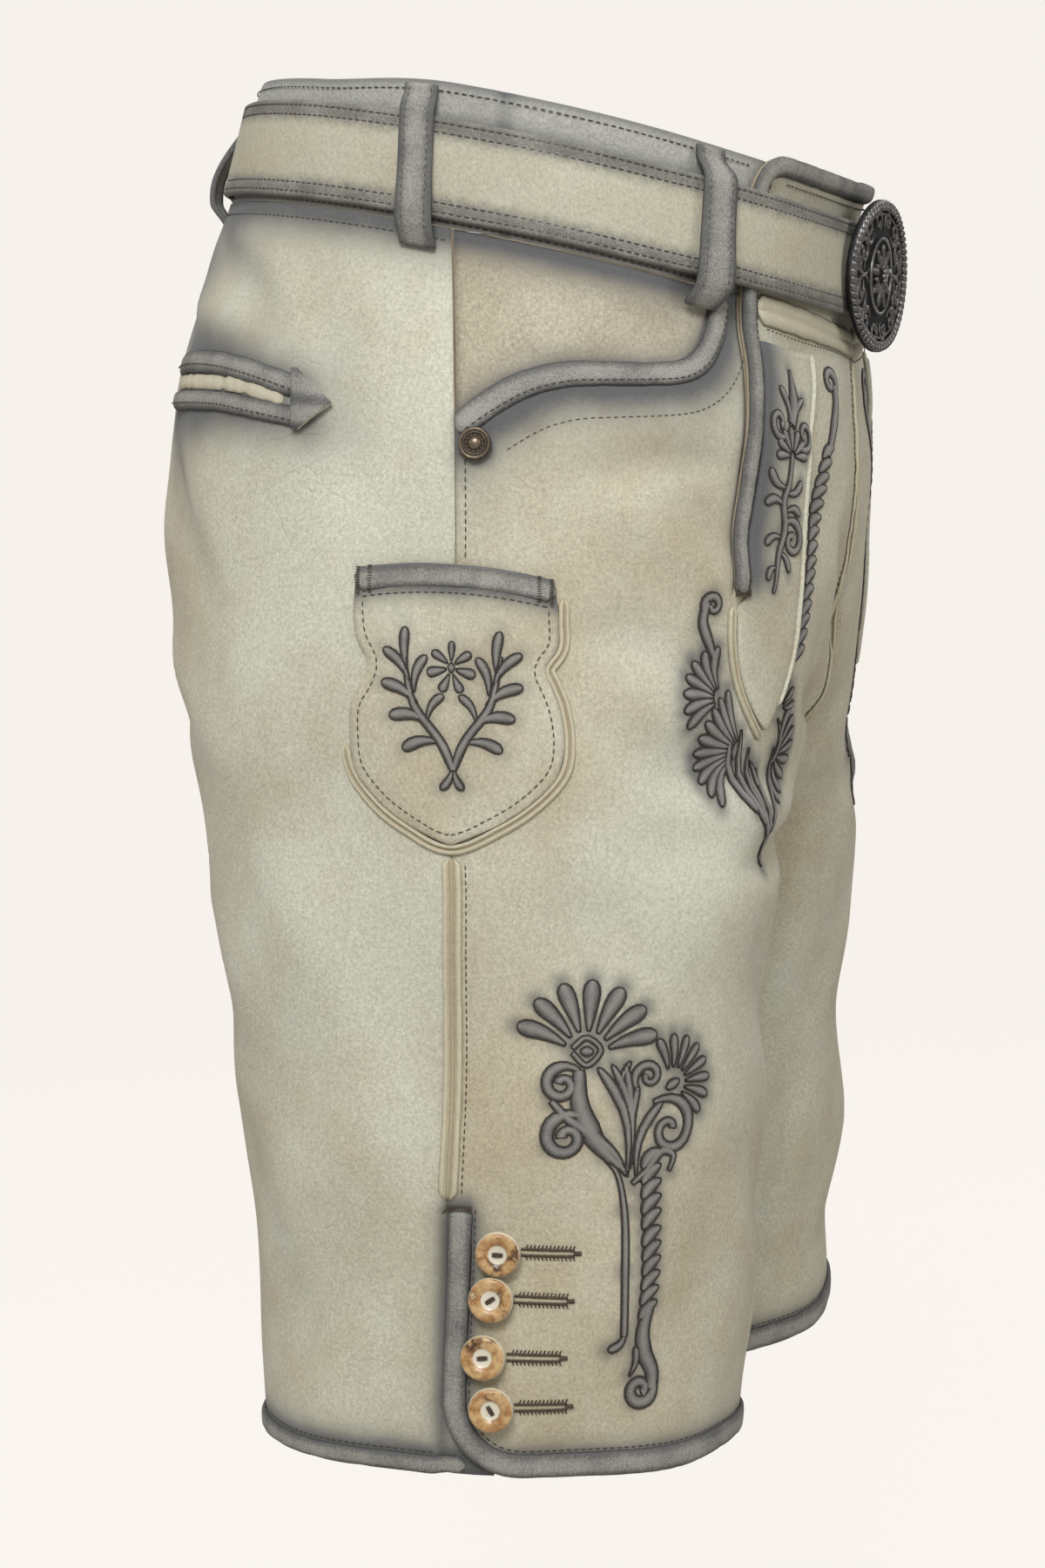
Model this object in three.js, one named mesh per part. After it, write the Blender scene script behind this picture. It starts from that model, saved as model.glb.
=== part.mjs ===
// Short leather lederhosen with their own belt, in the hollow shape they hold when worn.
// Millimetres. +Z is up, -Y is the wearer's front and +X is the wearer's left.
// The origin is the middle of the waist, at the height of the belt.
//
// A place on the leather is given as (u, z, out): u is the distance along the body from the side
// seam, plus towards the front and minus towards the back, z is the height before the waist's tilt,
// and out is the distance outside the leather's outer face. Every piece is made on the wearer's
// right, at -X, and mirrored for the left.
import * as THREE from "three";

// ---- Driving dimensions ----

const GAP = 0.3; // between pieces that are sewn together
const LEATHER = 1.6; // one layer of leather
const TRIM = 1.4; // thickness of bindings, pipings and appliques
const WAIST_SEAM = -26; // height of the seam under the waistband
const WAISTBAND_TOP = 29;
const WAISTBAND_WALL = 2;
const WAISTBAND_DROP = 5; // how much lower its top is at the back
const HEM = -502;

const FLAP_TOP = 31;
const FLAP_TACK = -152; // the slits beside the drop flap end here in a bar tack
const FLAP_STAND = 2.2; // how far the flap stands out over the waistband
const FLAP_LEAN = 3.8; // how much further its free top edge leans out
const FLAP_BINDING_WIDTH = 7;

const SLIT_TOP = -393; // the leg slit runs from here to the hem
const SLIT_CORNER = 32; // radius of the front edge's corner at the hem
const SLIT_BINDING_WIDTH = 10;
const HEM_BINDING_WIDTH = 8;
const BUTTON_RADIUS = 8.7;
const BUTTON_HEIGHT = 4.8;

const BELT_LOW = -23.5;
const BELT_HIGH = 15;
const BELT_WALL = 3.2;
const BELT_OUT_SIDE = 0.9; // belt's inner face outside the waistband
const BELT_OUT_FRONT = 5.2; // and where it passes over the flap
const BELT_TIP = 26; // the strap's free tip, past the centre front
const BELT_FOLD = 38; // the strap's other end, at the buckle's loop

const BUCKLE_WIDTH = 84;
const BUCKLE_HEIGHT = 63;
const BUCKLE_BACK = -137; // y of the plate's back
const BUCKLE_WALL = 3;
const BUCKLE_BEND = 500; // radius that the plate is bent to across its width
const BUCKLE_DROP = -30; // height of the plate's middle
const BUCKLE_TILT = 0.04; // radians that its top leans forward
const BUCKLE_TURN = 0.11; // radians that its face is turned to the wearer's right
const BUCKLE_UPRIGHT = -129.6; // y of the loop's upright
const BUCKLE_WIRE = 1.1; // radius of the loop and the prong

const LOOP_WIDTH = 12;
const LOOP_WALL = 2.2;
const LOOPS = table(
  ["name", "u"],
  [
    ["front", 99],
    ["side", -13],
    ["back", -206],
  ],
);

// ---- Tables ----

// Sections of the body, from the waistband's top down to the hem. outer is the widest half width,
// centre the middle of the leg, inner the leg's half width towards the crotch (wider than centre
// where the two halves meet), front and back the depths, middle the depth of the widest point,
// power the roundness, tilt and bow the rise of the level line to the back and to the sides, splay
// its fall towards the crotch, and seam how far the side seam lies in front of the widest point.
const BODY = table(
  ["z", "outer", "centre", "inner", "front", "back", "middle", "power", "tilt", "bow", "splay", "seam"],
  [
    [30, 160, 0, 999, 123, 115, 0, 2.3, 0.187, 10.5, 0, 0],
    [-26, 163, 0, 999, 123.5, 131, 0, 2.3, 0.187, 10.5, 0, 0],
    [-60, 172, 0, 999, 127.5, 145, 2, 2.3, 0.15, 8, 0, 5],
    [-100, 180, 6, 400, 129, 155, 4, 2.3, 0.1, 5, 0, 10],
    [-140, 185, 18, 230, 127, 154.5, 6, 2.3, 0.06, 3, 0, 13],
    [-180, 188, 36, 170, 122, 147, 6, 2.3, 0.03, 1.5, 0, 13],
    [-215, 190, 56, 132, 118, 137, 5, 2.3, 0.01, 0.5, 0, 13],
    [-245, 191, 76, 105, 114, 128, 4, 2.25, 0, 0, 0, 11],
    [-268, 192, 91, 91, 114, 121.5, 2, 2.2, 0, 0, 0.01, 10],
    [-300, 192.5, 93, 91.5, 112, 117, 0, 2.2, 0, 0, 0.02, 8],
    [-350, 194, 95, 91.5, 109.5, 109.5, -2, 2.2, 0, 0, 0.04, 6],
    [-410, 196, 97, 91, 106, 102, -4, 2.2, 0, 0, 0.06, 2],
    [-460, 198, 98.5, 90.5, 102.5, 96, -5, 2.2, 0, 0, 0.075, 0],
    [-502, 200, 100, 90, 101, 93, -5, 2.2, 0, 0, 0.084, 0],
  ],
);

// Free edge of the drop flap: distance from the centre front at each height.
const FLAP_EDGE = table(
  ["z", "fromCentre"],
  [
    [31, 90],
    [28, 97],
    [22, 102],
    [13, 105],
    [-27, 112],
    [-47, 115],
    [-92, 122.5],
    [-119, 128],
    [-152, 132],
  ],
);

// Mouth of the front pocket, from the side seam to the waistband.
const POCKET_MOUTH = table(
  ["u", "z"],
  [
    [0, -97],
    [13, -87],
    [27, -78],
    [43, -72],
    [60, -69],
    [78, -66],
    [92, -62.5],
    [101, -56],
    [107.5, -45],
    [110.5, -33],
    [111.5, -26],
  ],
);

// Horn buttons on the leg slit.
const BUTTONS = table(
  ["z", "u"],
  [
    [-411, 21],
    [-430, 19],
    [-453, 17],
    [-473, 20],
  ],
);

// Strip on the flap, ending in a tongue: its two edges, as distances from the centre front.
const STRIP = table(
  ["z", "outer", "inner"],
  [
    [-44, 105.5, 64],
    [-72, 110, 68.5],
    [-105, 116, 77.5],
    [-130, 121, 81],
    [-151, 123, 84],
    [-157, 129, 85],
    [-173, 127.5, 86.5],
    [-192, 120.5, 92],
    [-203, 113.5, 99],
    [-209, 108, 105.5],
  ],
);

// Knife pocket on the right thigh, about the side seam.
const KNIFE_POCKET = table(
  ["z", "left", "right"],
  [
    [-149, -38, 38],
    [-164, -39, 40],
    [-174, -37.5, 40],
    [-182, -33, 35],
    [-189, -35, 37.5],
    [-197, -40, 40.5],
    [-209, -41, 42],
    [-221, -39.5, 40],
    [-232, -30, 31],
    [-241, -17, 18],
    [-248.5, -1, 1],
  ],
);
const KNIFE_POCKET_ARCH = 4; // rise of its top edge in the middle
const KNIFE_PIPING_OUT = 3.4; // the piping's middle line outside the pocket's edge

// Arrow-shaped end tab of the back pocket.
const WELT_TAB = table(
  ["z", "left", "right"],
  [
    [-83, -66, -64],
    [-88, -66, -57],
    [-93, -66, -51],
    [-98, -66, -57],
    [-103, -66, -64],
  ],
);

function table(columns, rows) {
  return rows.map((row) => Object.fromEntries(columns.map((name, i) => [name, row[i]])));
}

// ---- Reading the tables ----

// Monotone cubic through a table's rows: a smooth curve that never swings past them.
function smooth(rows, key, column, at) {
  const turned = rows[0][key] > rows[rows.length - 1][key];
  const list = turned ? rows.slice().reverse() : rows;
  const x = list.map((row) => row[key]);
  const y = list.map((row) => row[column]);
  const t = Math.min(Math.max(at, x[0]), x[x.length - 1]);
  let i = 0;
  while (i < x.length - 2 && t > x[i + 1]) i++;
  const step = (k) => x[k + 1] - x[k];
  const rise = (k) => (y[k + 1] - y[k]) / step(k);
  const slope = (k) => {
    if (k === 0) return rise(0);
    if (k === x.length - 1) return rise(k - 1);
    if (rise(k - 1) * rise(k) <= 0) return 0;
    const before = 2 * step(k) + step(k - 1);
    const after = step(k) + 2 * step(k - 1);
    return (before + after) / (before / rise(k - 1) + after / rise(k));
  };
  const h = step(i);
  const s = (t - x[i]) / h;
  const rest = 1 - s;
  return (
    y[i] * (1 + 2 * s) * rest * rest +
    slope(i) * h * s * rest * rest +
    y[i + 1] * s * s * (3 - 2 * s) -
    slope(i + 1) * h * s * s * rest
  );
}

function ease(from, to, at) {
  const t = Math.min(Math.max((at - from) / (to - from), 0), 1);
  return t * t * (3 - 2 * t);
}

function mix(a, b, t) {
  return a + (b - a) * t;
}

function spread(count, from, to) {
  return Array.from({ length: count + 1 }, (_, i) => mix(from, to, i / count));
}

// ---- The body's surface ----

const WAIST_HALF_WIDTH = 163;
const CENTRE_CLEARANCE = 0.2; // each half keeps this far from the middle plane
const levels = new Map();
const arcs = new Map();

function levelAt(z) {
  if (!levels.has(z)) {
    const names = Object.keys(BODY[0]).filter((name) => name !== "z");
    levels.set(z, Object.fromEntries(names.map((name) => [name, smooth(BODY, "z", name, z)])));
  }
  return levels.get(z);
}

// The section's angle is 0 at the inseam, half a turn at the side and a whole turn at the inseam
// again, round the back. Above the crotch it starts where the two halves meet.
function startAngle(level) {
  if (level.inner <= level.centre) return 0;
  return Math.acos(Math.pow(level.centre / level.inner, level.power / 2));
}

function sectionPoint(angle, z) {
  const level = levelAt(z);
  const c = Math.cos(angle);
  const s = -Math.sin(angle);
  const across = Math.sign(c) * Math.pow(Math.abs(c), 2 / level.power);
  const along = Math.sign(s) * Math.pow(Math.abs(s), 2 / level.power);
  const half = c > 0 ? level.inner : level.outer - level.centre;
  const depth = s < 0 ? level.middle + level.front : level.back - level.middle;
  const x = -level.centre + half * across;
  const y = level.middle + depth * along;
  const rise = level.tilt * y + level.bow * (x / WAIST_HALF_WIDTH) ** 2;
  return new THREE.Vector3(x, y, z + rise - level.splay * (x + level.centre));
}

function sectionNormal(angle, z) {
  const down = sectionPoint(angle, z - 1).sub(sectionPoint(angle, z + 1));
  const forward = sectionPoint(angle - 0.01, z).sub(sectionPoint(angle + 0.01, z));
  return down.cross(forward).normalize();
}

// Distances along a section, from its back end to its front end.
function arcAt(z) {
  if (!arcs.has(z)) {
    const level = levelAt(z);
    const start = startAngle(level);
    const stops = spread(160, 2 * Math.PI - start, start).map((angle) => ({ angle, u: 0 }));
    for (let i = 1; i < stops.length; i++) {
      const step = sectionPoint(stops[i].angle, z).sub(sectionPoint(stops[i - 1].angle, z));
      stops[i].u = stops[i - 1].u + Math.hypot(step.x, step.y);
    }
    const seam = stops[stops.length / 2 - 0.5].u + level.seam;
    stops.forEach((stop) => (stop.u -= seam));
    arcs.set(z, stops);
  }
  return arcs.get(z);
}

function frontLength(z) {
  const stops = arcAt(z);
  return stops[stops.length - 1].u;
}

function backLength(z) {
  return -arcAt(z)[0].u;
}

function angleAt(u, z) {
  const stops = arcAt(z);
  let low = 0;
  let high = stops.length - 1;
  while (high - low > 1) {
    const middle = (low + high) >> 1;
    if (stops[middle].u <= u) low = middle;
    else high = middle;
  }
  const t = Math.min(Math.max((u - stops[low].u) / (stops[high].u - stops[low].u), 0), 1);
  return mix(stops[low].angle, stops[high].angle, t);
}

// A point on the wearer's right.
function onBody(u, z, out = 0) {
  const angle = angleAt(u, z);
  const point = sectionPoint(angle, z).addScaledVector(sectionNormal(angle, z), out);
  point.x = Math.min(point.x, -CENTRE_CLEARANCE);
  return point;
}

// A point by its distance from the centre front: plus on the wearer's right, minus on the left.
function fromFront(v, z, out = 0) {
  const point = onBody(frontLength(z) - Math.abs(v), z, out);
  if (v < 0) point.x = -point.x;
  return point;
}

// ---- Solids ----

function triangles() {
  const list = [];
  const add = (a, b, c) => list.push(a, b, c);
  return { list, add, quad: (a, b, c, d) => (add(a, b, c), add(a, c, d)) };
}

// Closed geometry from triangles that agree with each other, with its faces turned outwards.
function solid(faces, mirrored) {
  const points = faces.list.map((p) => new THREE.Vector3(mirrored ? -p.x : p.x, p.y, p.z));
  let volume = 0;
  for (let i = 0; i < points.length; i += 3) {
    volume += points[i].dot(points[i + 1].clone().cross(points[i + 2]));
  }
  if (volume < 0) {
    for (let i = 0; i < points.length; i += 3) {
      [points[i + 1], points[i + 2]] = [points[i + 2], points[i + 1]];
    }
  }
  const geometry = new THREE.BufferGeometry().setFromPoints(points);
  geometry.computeVertexNormals();
  return geometry;
}

// A wall between two grids of points. keep says which cells are leather, so a slit or a step in
// the outline is a row of cells left out.
function wall(outer, inner, keep = () => true) {
  const faces = triangles();
  const rows = outer.length - 1;
  const columns = outer[0].length - 1;
  const kept = (r, c) => r >= 0 && c >= 0 && r < rows && c < columns && keep(r, c);
  for (let r = 0; r < rows; r++) {
    for (let c = 0; c < columns; c++) {
      if (!kept(r, c)) continue;
      faces.quad(outer[r][c], outer[r + 1][c], outer[r + 1][c + 1], outer[r][c + 1]);
      faces.quad(inner[r][c], inner[r][c + 1], inner[r + 1][c + 1], inner[r + 1][c]);
      const edges = [
        [kept(r - 1, c), r, c + 1, r, c],
        [kept(r + 1, c), r + 1, c, r + 1, c + 1],
        [kept(r, c - 1), r, c, r + 1, c],
        [kept(r, c + 1), r + 1, c + 1, r, c + 1],
      ];
      for (const [joined, r0, c0, r1, c1] of edges) {
        if (!joined) faces.quad(outer[r1][c1], outer[r0][c0], inner[r0][c0], inner[r1][c1]);
      }
    }
  }
  return faces;
}

// A sheet on the body: a row of u values at each height, between two distances outside it.
function sheet({ heights, columns, place = onBody, top, thickness, lift = () => 0, keep }) {
  const grid = (depth) =>
    heights.map((z, r) =>
      columns(z).map((u, c) => place(u, z + lift(u, z), top(u, z, c, r) - depth)),
    );
  return wall(grid(0), grid(thickness), keep);
}

// A patch between the two edges that a table gives.
function patch(rows, left, right, count, base, thickness, options = {}) {
  return sheet({
    heights: rows.map((row) => row.z),
    columns: (z) => {
      const row = rows.find((entry) => entry.z === z);
      return spread(count, row[left], row[right]);
    },
    top: (u, z) => base(u, z) + thickness,
    thickness,
    ...options,
  });
}

// The triangles of a three.js geometry, without the flat ones at a lathe's poles.
function geometryFaces(geometry) {
  const faces = triangles();
  const loose = geometry.index ? geometry.toNonIndexed() : geometry;
  const position = loose.attributes.position;
  const corner = (i) => new THREE.Vector3().fromBufferAttribute(position, i);
  for (let i = 0; i < position.count; i += 3) {
    const [a, b, c] = [corner(i), corner(i + 1), corner(i + 2)];
    const area = b.clone().sub(a).cross(c.clone().sub(a)).length();
    if (area > 1e-6) faces.add(a, b, c);
  }
  return faces;
}

// A closed tube through rings of points, with flat ends.
function tube(rings) {
  const faces = triangles();
  const count = rings[0].length;
  for (let i = 0; i < rings.length - 1; i++) {
    for (let j = 0; j < count; j++) {
      const k = (j + 1) % count;
      faces.quad(rings[i][j], rings[i][k], rings[i + 1][k], rings[i + 1][j]);
    }
  }
  for (let j = 1; j < count - 1; j++) {
    faces.add(rings[0][0], rings[0][j + 1], rings[0][j]);
    const end = rings[rings.length - 1];
    faces.add(end[0], end[j], end[j + 1]);
  }
  return faces;
}

// A flat strip along a path of [u, z] points, on the leather or on what base says lies under it.
function ribbon(path, width, base, { place = onBody, thickness = TRIM, shoulder = 0.8 } = {}) {
  const rings = path.map(([u, z], i) => {
    const [u0, z0] = path[Math.max(i - 1, 0)];
    const [u1, z1] = path[Math.min(i + 1, path.length - 1)];
    const length = Math.hypot(u1 - u0, z1 - z0);
    const across = [-(z1 - z0) / length, (u1 - u0) / length];
    const corner = (side, height) => {
      const [cu, cz] = [u + across[0] * side, z + across[1] * side];
      return place(cu, cz, base(cu, cz) + GAP + height);
    };
    return [
      corner(width / 2, 0),
      corner(width / 2 - shoulder, thickness),
      corner(-width / 2 + shoulder, thickness),
      corner(-width / 2, 0),
    ];
  });
  return tube(rings);
}

// A smooth path through a few [u, z] points.
function curve(points, count) {
  const spline = new THREE.SplineCurve(points.map(([u, z]) => new THREE.Vector2(u, z)));
  return spline.getSpacedPoints(count).map((point) => [point.x, point.y]);
}

const onLeather = () => 0;
const overLeather = () => GAP; // clear of the flat faces where the leather bends sharply

// ---- Materials ----

function material(color, roughness, metalness = 0) {
  return new THREE.MeshStandardMaterial({ color, roughness, metalness });
}

const paleLeather = material(0xc9c5ab, 0.95);
const tanLeather = material(0xb5a888, 0.95);
const greyLeather = material(0x7b7d80, 0.9);
const creamLeather = material(0xcfc6a8, 0.9);
const antiqueMetal = material(0x3b3b3c, 0.45, 0.9);
const bronze = material(0x5a4a38, 0.4, 0.85);
const horn = material(0xc8a878, 0.5);

const root = new THREE.Group();

function add(name, geometry, finish) {
  const mesh = new THREE.Mesh(geometry, finish);
  mesh.name = name;
  root.add(mesh);
}

function pair(name, faces, finish) {
  add(`${name}_right`, solid(faces, false), finish);
  add(`${name}_left`, solid(faces, true), finish);
}

// ---- Front panels, each cut in one with its half of the drop flap ----

const FRONT_LEVELS = [
  31, 27, 22, 13, -26, -50, -80, -105, -130, -152, -180, -210, -235, -252, -262, -268, -285, -330,
  -370, -393, -430, -470, -482, -492, -502,
];
const POCKET_SIDE = [0, 0.12, 0.26, 0.42, 0.58, 0.74, 0.82, 0.87, 0.895, 0.91, 1];
const FLAP_SIDE = spread(8, 0, 1);
const POCKET_ANCHOR = -105; // rows above this bend to follow the pocket's mouth

function slitAt(z) {
  const edge = smooth(FLAP_EDGE, "z", "fromCentre", z);
  return z < FLAP_TACK ? frontLength(FLAP_TACK) - edge : frontLength(z) - edge;
}

function flapStand(z) {
  const lean = FLAP_LEAN * ease(BELT_HIGH, FLAP_TOP, z);
  return FLAP_STAND * ease(FLAP_TACK, WAIST_SEAM, z) + lean;
}

function cornerAt(z) {
  const into = HEM + SLIT_CORNER - z;
  if (into <= 0) return GAP / 2;
  return GAP / 2 + SLIT_CORNER - Math.sqrt(SLIT_CORNER ** 2 - Math.min(into, SLIT_CORNER) ** 2);
}

function frontColumns(z) {
  const start = cornerAt(z);
  const slit = slitAt(z);
  const side = POCKET_SIDE.map((t) => mix(start, slit - GAP, t));
  const flap = FLAP_SIDE.map((t) => mix(slit + GAP, frontLength(z) - GAP / 2, t));
  return side.concat(flap);
}

function mouthLift(u, z) {
  const onPocketSide = u < slitAt(z);
  if (!onPocketSide || z <= POCKET_ANCHOR || z > WAIST_SEAM) return 0;
  const mouth = smooth(POCKET_MOUTH, "u", "z", u) - GAP / 2;
  const share = (z - POCKET_ANCHOR) / (WAIST_SEAM - POCKET_ANCHOR);
  return POCKET_ANCHOR + share * (mouth - POCKET_ANCHOR) - z;
}

function frontPanel() {
  const slitColumn = POCKET_SIDE.length - 1;
  return sheet({
    heights: FRONT_LEVELS,
    columns: frontColumns,
    top: (u, z) => (u > slitAt(z) ? flapStand(z) : 0),
    thickness: LEATHER,
    lift: mouthLift,
    keep: (r, c) => {
      if (c < slitColumn) return FRONT_LEVELS[r] <= WAIST_SEAM;
      if (c === slitColumn) return FRONT_LEVELS[r] <= FLAP_TACK;
      return true;
    },
  });
}

function underFlap() {
  return sheet({
    heights: [WAIST_SEAM - GAP / 2, -45, -70, -95, -120, -145, -160],
    columns: (z) => spread(6, slitAt(z) + GAP, frontLength(z) - GAP),
    top: (u, z) => flapStand(z) - LEATHER - GAP,
    thickness: LEATHER,
  });
}

function pocketFacing() {
  const underMouth = 14;
  const reach = 117;
  const heights = spread(5, 0, 1);
  return sheet({
    heights,
    columns: () => spread(12, GAP, reach),
    place: (u, share, out) => {
      const high = WAIST_SEAM - GAP / 2;
      const low = smooth(POCKET_MOUTH, "u", "z", u) - underMouth;
      return onBody(u, mix(high, low, share), out);
    },
    top: () => -LEATHER - 2 * GAP,
    thickness: 1.2,
  });
}

pair("front_panel", frontPanel(), paleLeather);
pair("under_flap", underFlap(), tanLeather);
pair("pocket_facing", pocketFacing(), tanLeather);

// ---- Back panels, each with the button stand that the front's slit edge laps over ----

const BACK_LEVELS = [
  -26.15, -50, -80, -110, -140, -175, -210, -235, -252, -262, -268, -285, -330, -370, -397, -440, -502,
];
const STAND_REACH = 21;
const STAND_DEPTH = LEATHER + 4 * GAP; // the stand's outer face, behind the front's

function backPanel() {
  const standColumns = 3;
  const slitStarts = (z) => z <= SLIT_TOP;
  return sheet({
    heights: BACK_LEVELS,
    columns: (z) => {
      const edge = slitStarts(z) ? -2.4 : -GAP / 2;
      const stand = [STAND_REACH, STAND_REACH / 2, -0.6];
      return stand.concat(spread(13, edge, GAP / 2 - backLength(z)));
    },
    top: (u, z, c) => (c < standColumns ? -STAND_DEPTH : 0),
    thickness: LEATHER,
    keep: (r, c) => c >= standColumns || slitStarts(BACK_LEVELS[r]),
  });
}

pair("back_panel", backPanel(), paleLeather);

// ---- Waistband ----

// How much lower the waistband ends at the back than at the front.
function waistDrop(u, z) {
  return WAISTBAND_DROP * ease(0, -60, u) * ease(0, WAISTBAND_TOP, z);
}

function waistband() {
  const ends = GAP / 2;
  return sheet({
    heights: [WAISTBAND_TOP, 0, GAP / 2 + WAIST_SEAM],
    columns: (z) => spread(26, ends - backLength(z), frontLength(z) - ends),
    top: () => 0,
    thickness: WAISTBAND_WALL,
    lift: (u, z) => -waistDrop(u, z),
  });
}

pair("waistband", waistband(), greyLeather);

// ---- Drop flap: edge binding, sewn band, strips with their tongues, pipings ----

function flapBinding() {
  const inset = FLAP_BINDING_WIDTH / 2;
  const upright = [FLAP_TACK, -130, -105, -80, -55, WAIST_SEAM, -5, 10, 17, 22].map((z) => [
    smooth(FLAP_EDGE, "z", "fromCentre", z) - inset,
    z,
  ]);
  const corner = [[95.5, 24.8], [92, 26.6], [87, FLAP_TOP - inset]];
  const crossing = spread(14, 77, -77).map((v) => [v, FLAP_TOP - inset]);
  const half = upright.concat(corner);
  const otherHalf = half.map(([v, z]) => [-v, z]).reverse();
  const path = half.concat(crossing, otherHalf);
  const base = (v, z) => flapStand(z) + GAP;
  return ribbon(path, FLAP_BINDING_WIDTH, base, { place: fromFront, thickness: 1.8 });
}

function flapBand() {
  const path = curve([[103.5, -30], [80, -30.5], [55, -32], [30, -34], [1, -36]], 10);
  return ribbon(path, 13, (v, z) => flapStand(z) + GAP, { place: fromFront });
}

function strip() {
  const base = (v, z) => flapStand(z) + 2 * GAP;
  return patch(STRIP, "outer", "inner", 4, base, 1.2, { place: fromFront });
}

function tonguePiping() {
  const path = [[131.5, -157], [130.3, -173], [123.5, -192], [116.3, -204], [109, -212.5]];
  return ribbon(path, 3.6, onLeather, { place: fromFront, thickness: 1.1 });
}

function centrePiping() {
  const levelsDown = [-43].concat(FRONT_LEVELS.filter((z) => z < -45 && z > -255));
  const path = levelsDown.map((z) => [2.8, z]);
  return ribbon(path, 3.2, (v, z) => flapStand(z), { place: fromFront, thickness: 1.1, shoulder: 0.6 });
}

add("flap_binding", solid(flapBinding(), false), greyLeather);
pair("flap_band", flapBand(), creamLeather);
pair("flap_strip", strip(), paleLeather);
pair("tongue_piping", tonguePiping(), creamLeather);
pair("centre_piping", centrePiping(), creamLeather);

// ---- Front pockets ----

function pocketBinding() {
  const path = POCKET_MOUTH.map(({ u, z }) => [u, z]);
  path[0][0] = 1;
  path[path.length - 1][1] = -29;
  return ribbon(path, 9, overLeather);
}

// A turned shape with its back on the leather at (u, z). The profile is a list of [radius, height].
function turned(profile, u, z, out) {
  const points = profile.map(([r, y]) => new THREE.Vector2(r, y));
  const geometry = new THREE.LatheGeometry(points, 16);
  const outward = sectionNormal(angleAt(u, z), z);
  const turn = new THREE.Quaternion().setFromUnitVectors(new THREE.Vector3(0, 1, 0), outward);
  const place = onBody(u, z, out);
  return geometryFaces(geometry.applyQuaternion(turn).translate(place.x, place.y, place.z));
}

function pocketRivet() {
  const radius = 6.3;
  const profile = [[0, 0], [radius - 0.8, 0], [radius, 0.8], [radius - 0.6, 1.7], [0, 2.2]];
  return turned(profile, 8, -101.5, TRIM + 2 * GAP);
}

pair("pocket_binding", pocketBinding(), greyLeather);
pair("pocket_rivet", pocketRivet(), bronze);

// ---- Back pockets ----

function weltUpper() {
  const path = curve([[-178, -85], [-134, -83.3], [-110, -83.5], [-88, -85.5], [-66, -89]], 12);
  return ribbon(path, 8, overLeather);
}

function weltLower() {
  const path = curve([[-178, -97.5], [-134, -96.5], [-110, -96.2], [-86, -97.5], [-63, -99.3]], 12);
  return ribbon(path, 7, overLeather);
}

function weltTab() {
  return patch(WELT_TAB, "left", "right", 2, () => TRIM + 3 * GAP, 1.2);
}

pair("back_pocket_upper_welt", weltUpper(), greyLeather);
pair("back_pocket_lower_welt", weltLower(), greyLeather);
pair("back_pocket_tab", weltTab(), greyLeather);

// ---- Knife pocket, on the right thigh only ----

function pocketArch(u, z) {
  const share = Math.max(z - KNIFE_POCKET[1].z, 0) / (KNIFE_POCKET[0].z - KNIFE_POCKET[1].z);
  return KNIFE_POCKET_ARCH * share * (1 - (u / KNIFE_POCKET[0].right) ** 2);
}

function knifePocket() {
  return patch(KNIFE_POCKET, "left", "right", 8, () => GAP, TRIM, { lift: pocketArch });
}

function knifePocketBand() {
  const width = 9;
  const path = spread(8, -38.5, 38.5).map((u) => {
    const top = KNIFE_POCKET[0].z + KNIFE_POCKET_ARCH * (1 - (u / 38.5) ** 2);
    return [u, top - width / 2 + 0.5];
  });
  return ribbon(path, width, () => TRIM + GAP);
}

function knifePocketPiping() {
  const rows = KNIFE_POCKET.slice(1, -1);
  const outline = rows.map((row) => [row.right, row.z]);
  outline.push([0, KNIFE_POCKET[KNIFE_POCKET.length - 1].z]);
  outline.push(...rows.slice(4).reverse().map((row) => [row.left, row.z]));
  const path = outline.map(([u, z], i) => {
    const [u0, z0] = outline[Math.max(i - 1, 0)];
    const [u1, z1] = outline[Math.min(i + 1, outline.length - 1)];
    const length = Math.hypot(u1 - u0, z1 - z0);
    return [u - ((z1 - z0) / length) * KNIFE_PIPING_OUT, z + ((u1 - u0) / length) * KNIFE_PIPING_OUT];
  });
  return ribbon(path, 4.4, overLeather, { thickness: 1.1 });
}

add("knife_pocket", solid(knifePocket(), false), paleLeather);
add("knife_pocket_band", solid(knifePocketBand(), false), greyLeather);
add("knife_pocket_piping", solid(knifePocketPiping(), false), creamLeather);

// ---- Side seam, leg slit and hems ----

function sidePiping() {
  const path = [-257, -280, -305, -330, -355, -375, SLIT_TOP + 2].map((z) => [0, z]);
  return ribbon(path, 8, onLeather);
}

function slitBinding() {
  const half = SLIT_BINDING_WIDTH / 2;
  const upright = [SLIT_TOP - 1, -415, -440, HEM + SLIT_CORNER].map((z) => [half + 0.2, z]);
  const radius = SLIT_CORNER - half;
  const corner = [0.25, 0.5, 0.75, 1].map((share) => {
    const angle = (share * Math.PI) / 2;
    const u = SLIT_CORNER - radius * Math.cos(angle);
    return [u, HEM + SLIT_CORNER - radius * Math.sin(angle)];
  });
  const end = frontLength(HEM + half) - 1;
  const hem = spread(26, SLIT_CORNER + 8, end).map((u) => [u, HEM + half]);
  return ribbon(upright.concat(corner, hem), SLIT_BINDING_WIDTH, overLeather);
}

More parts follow.
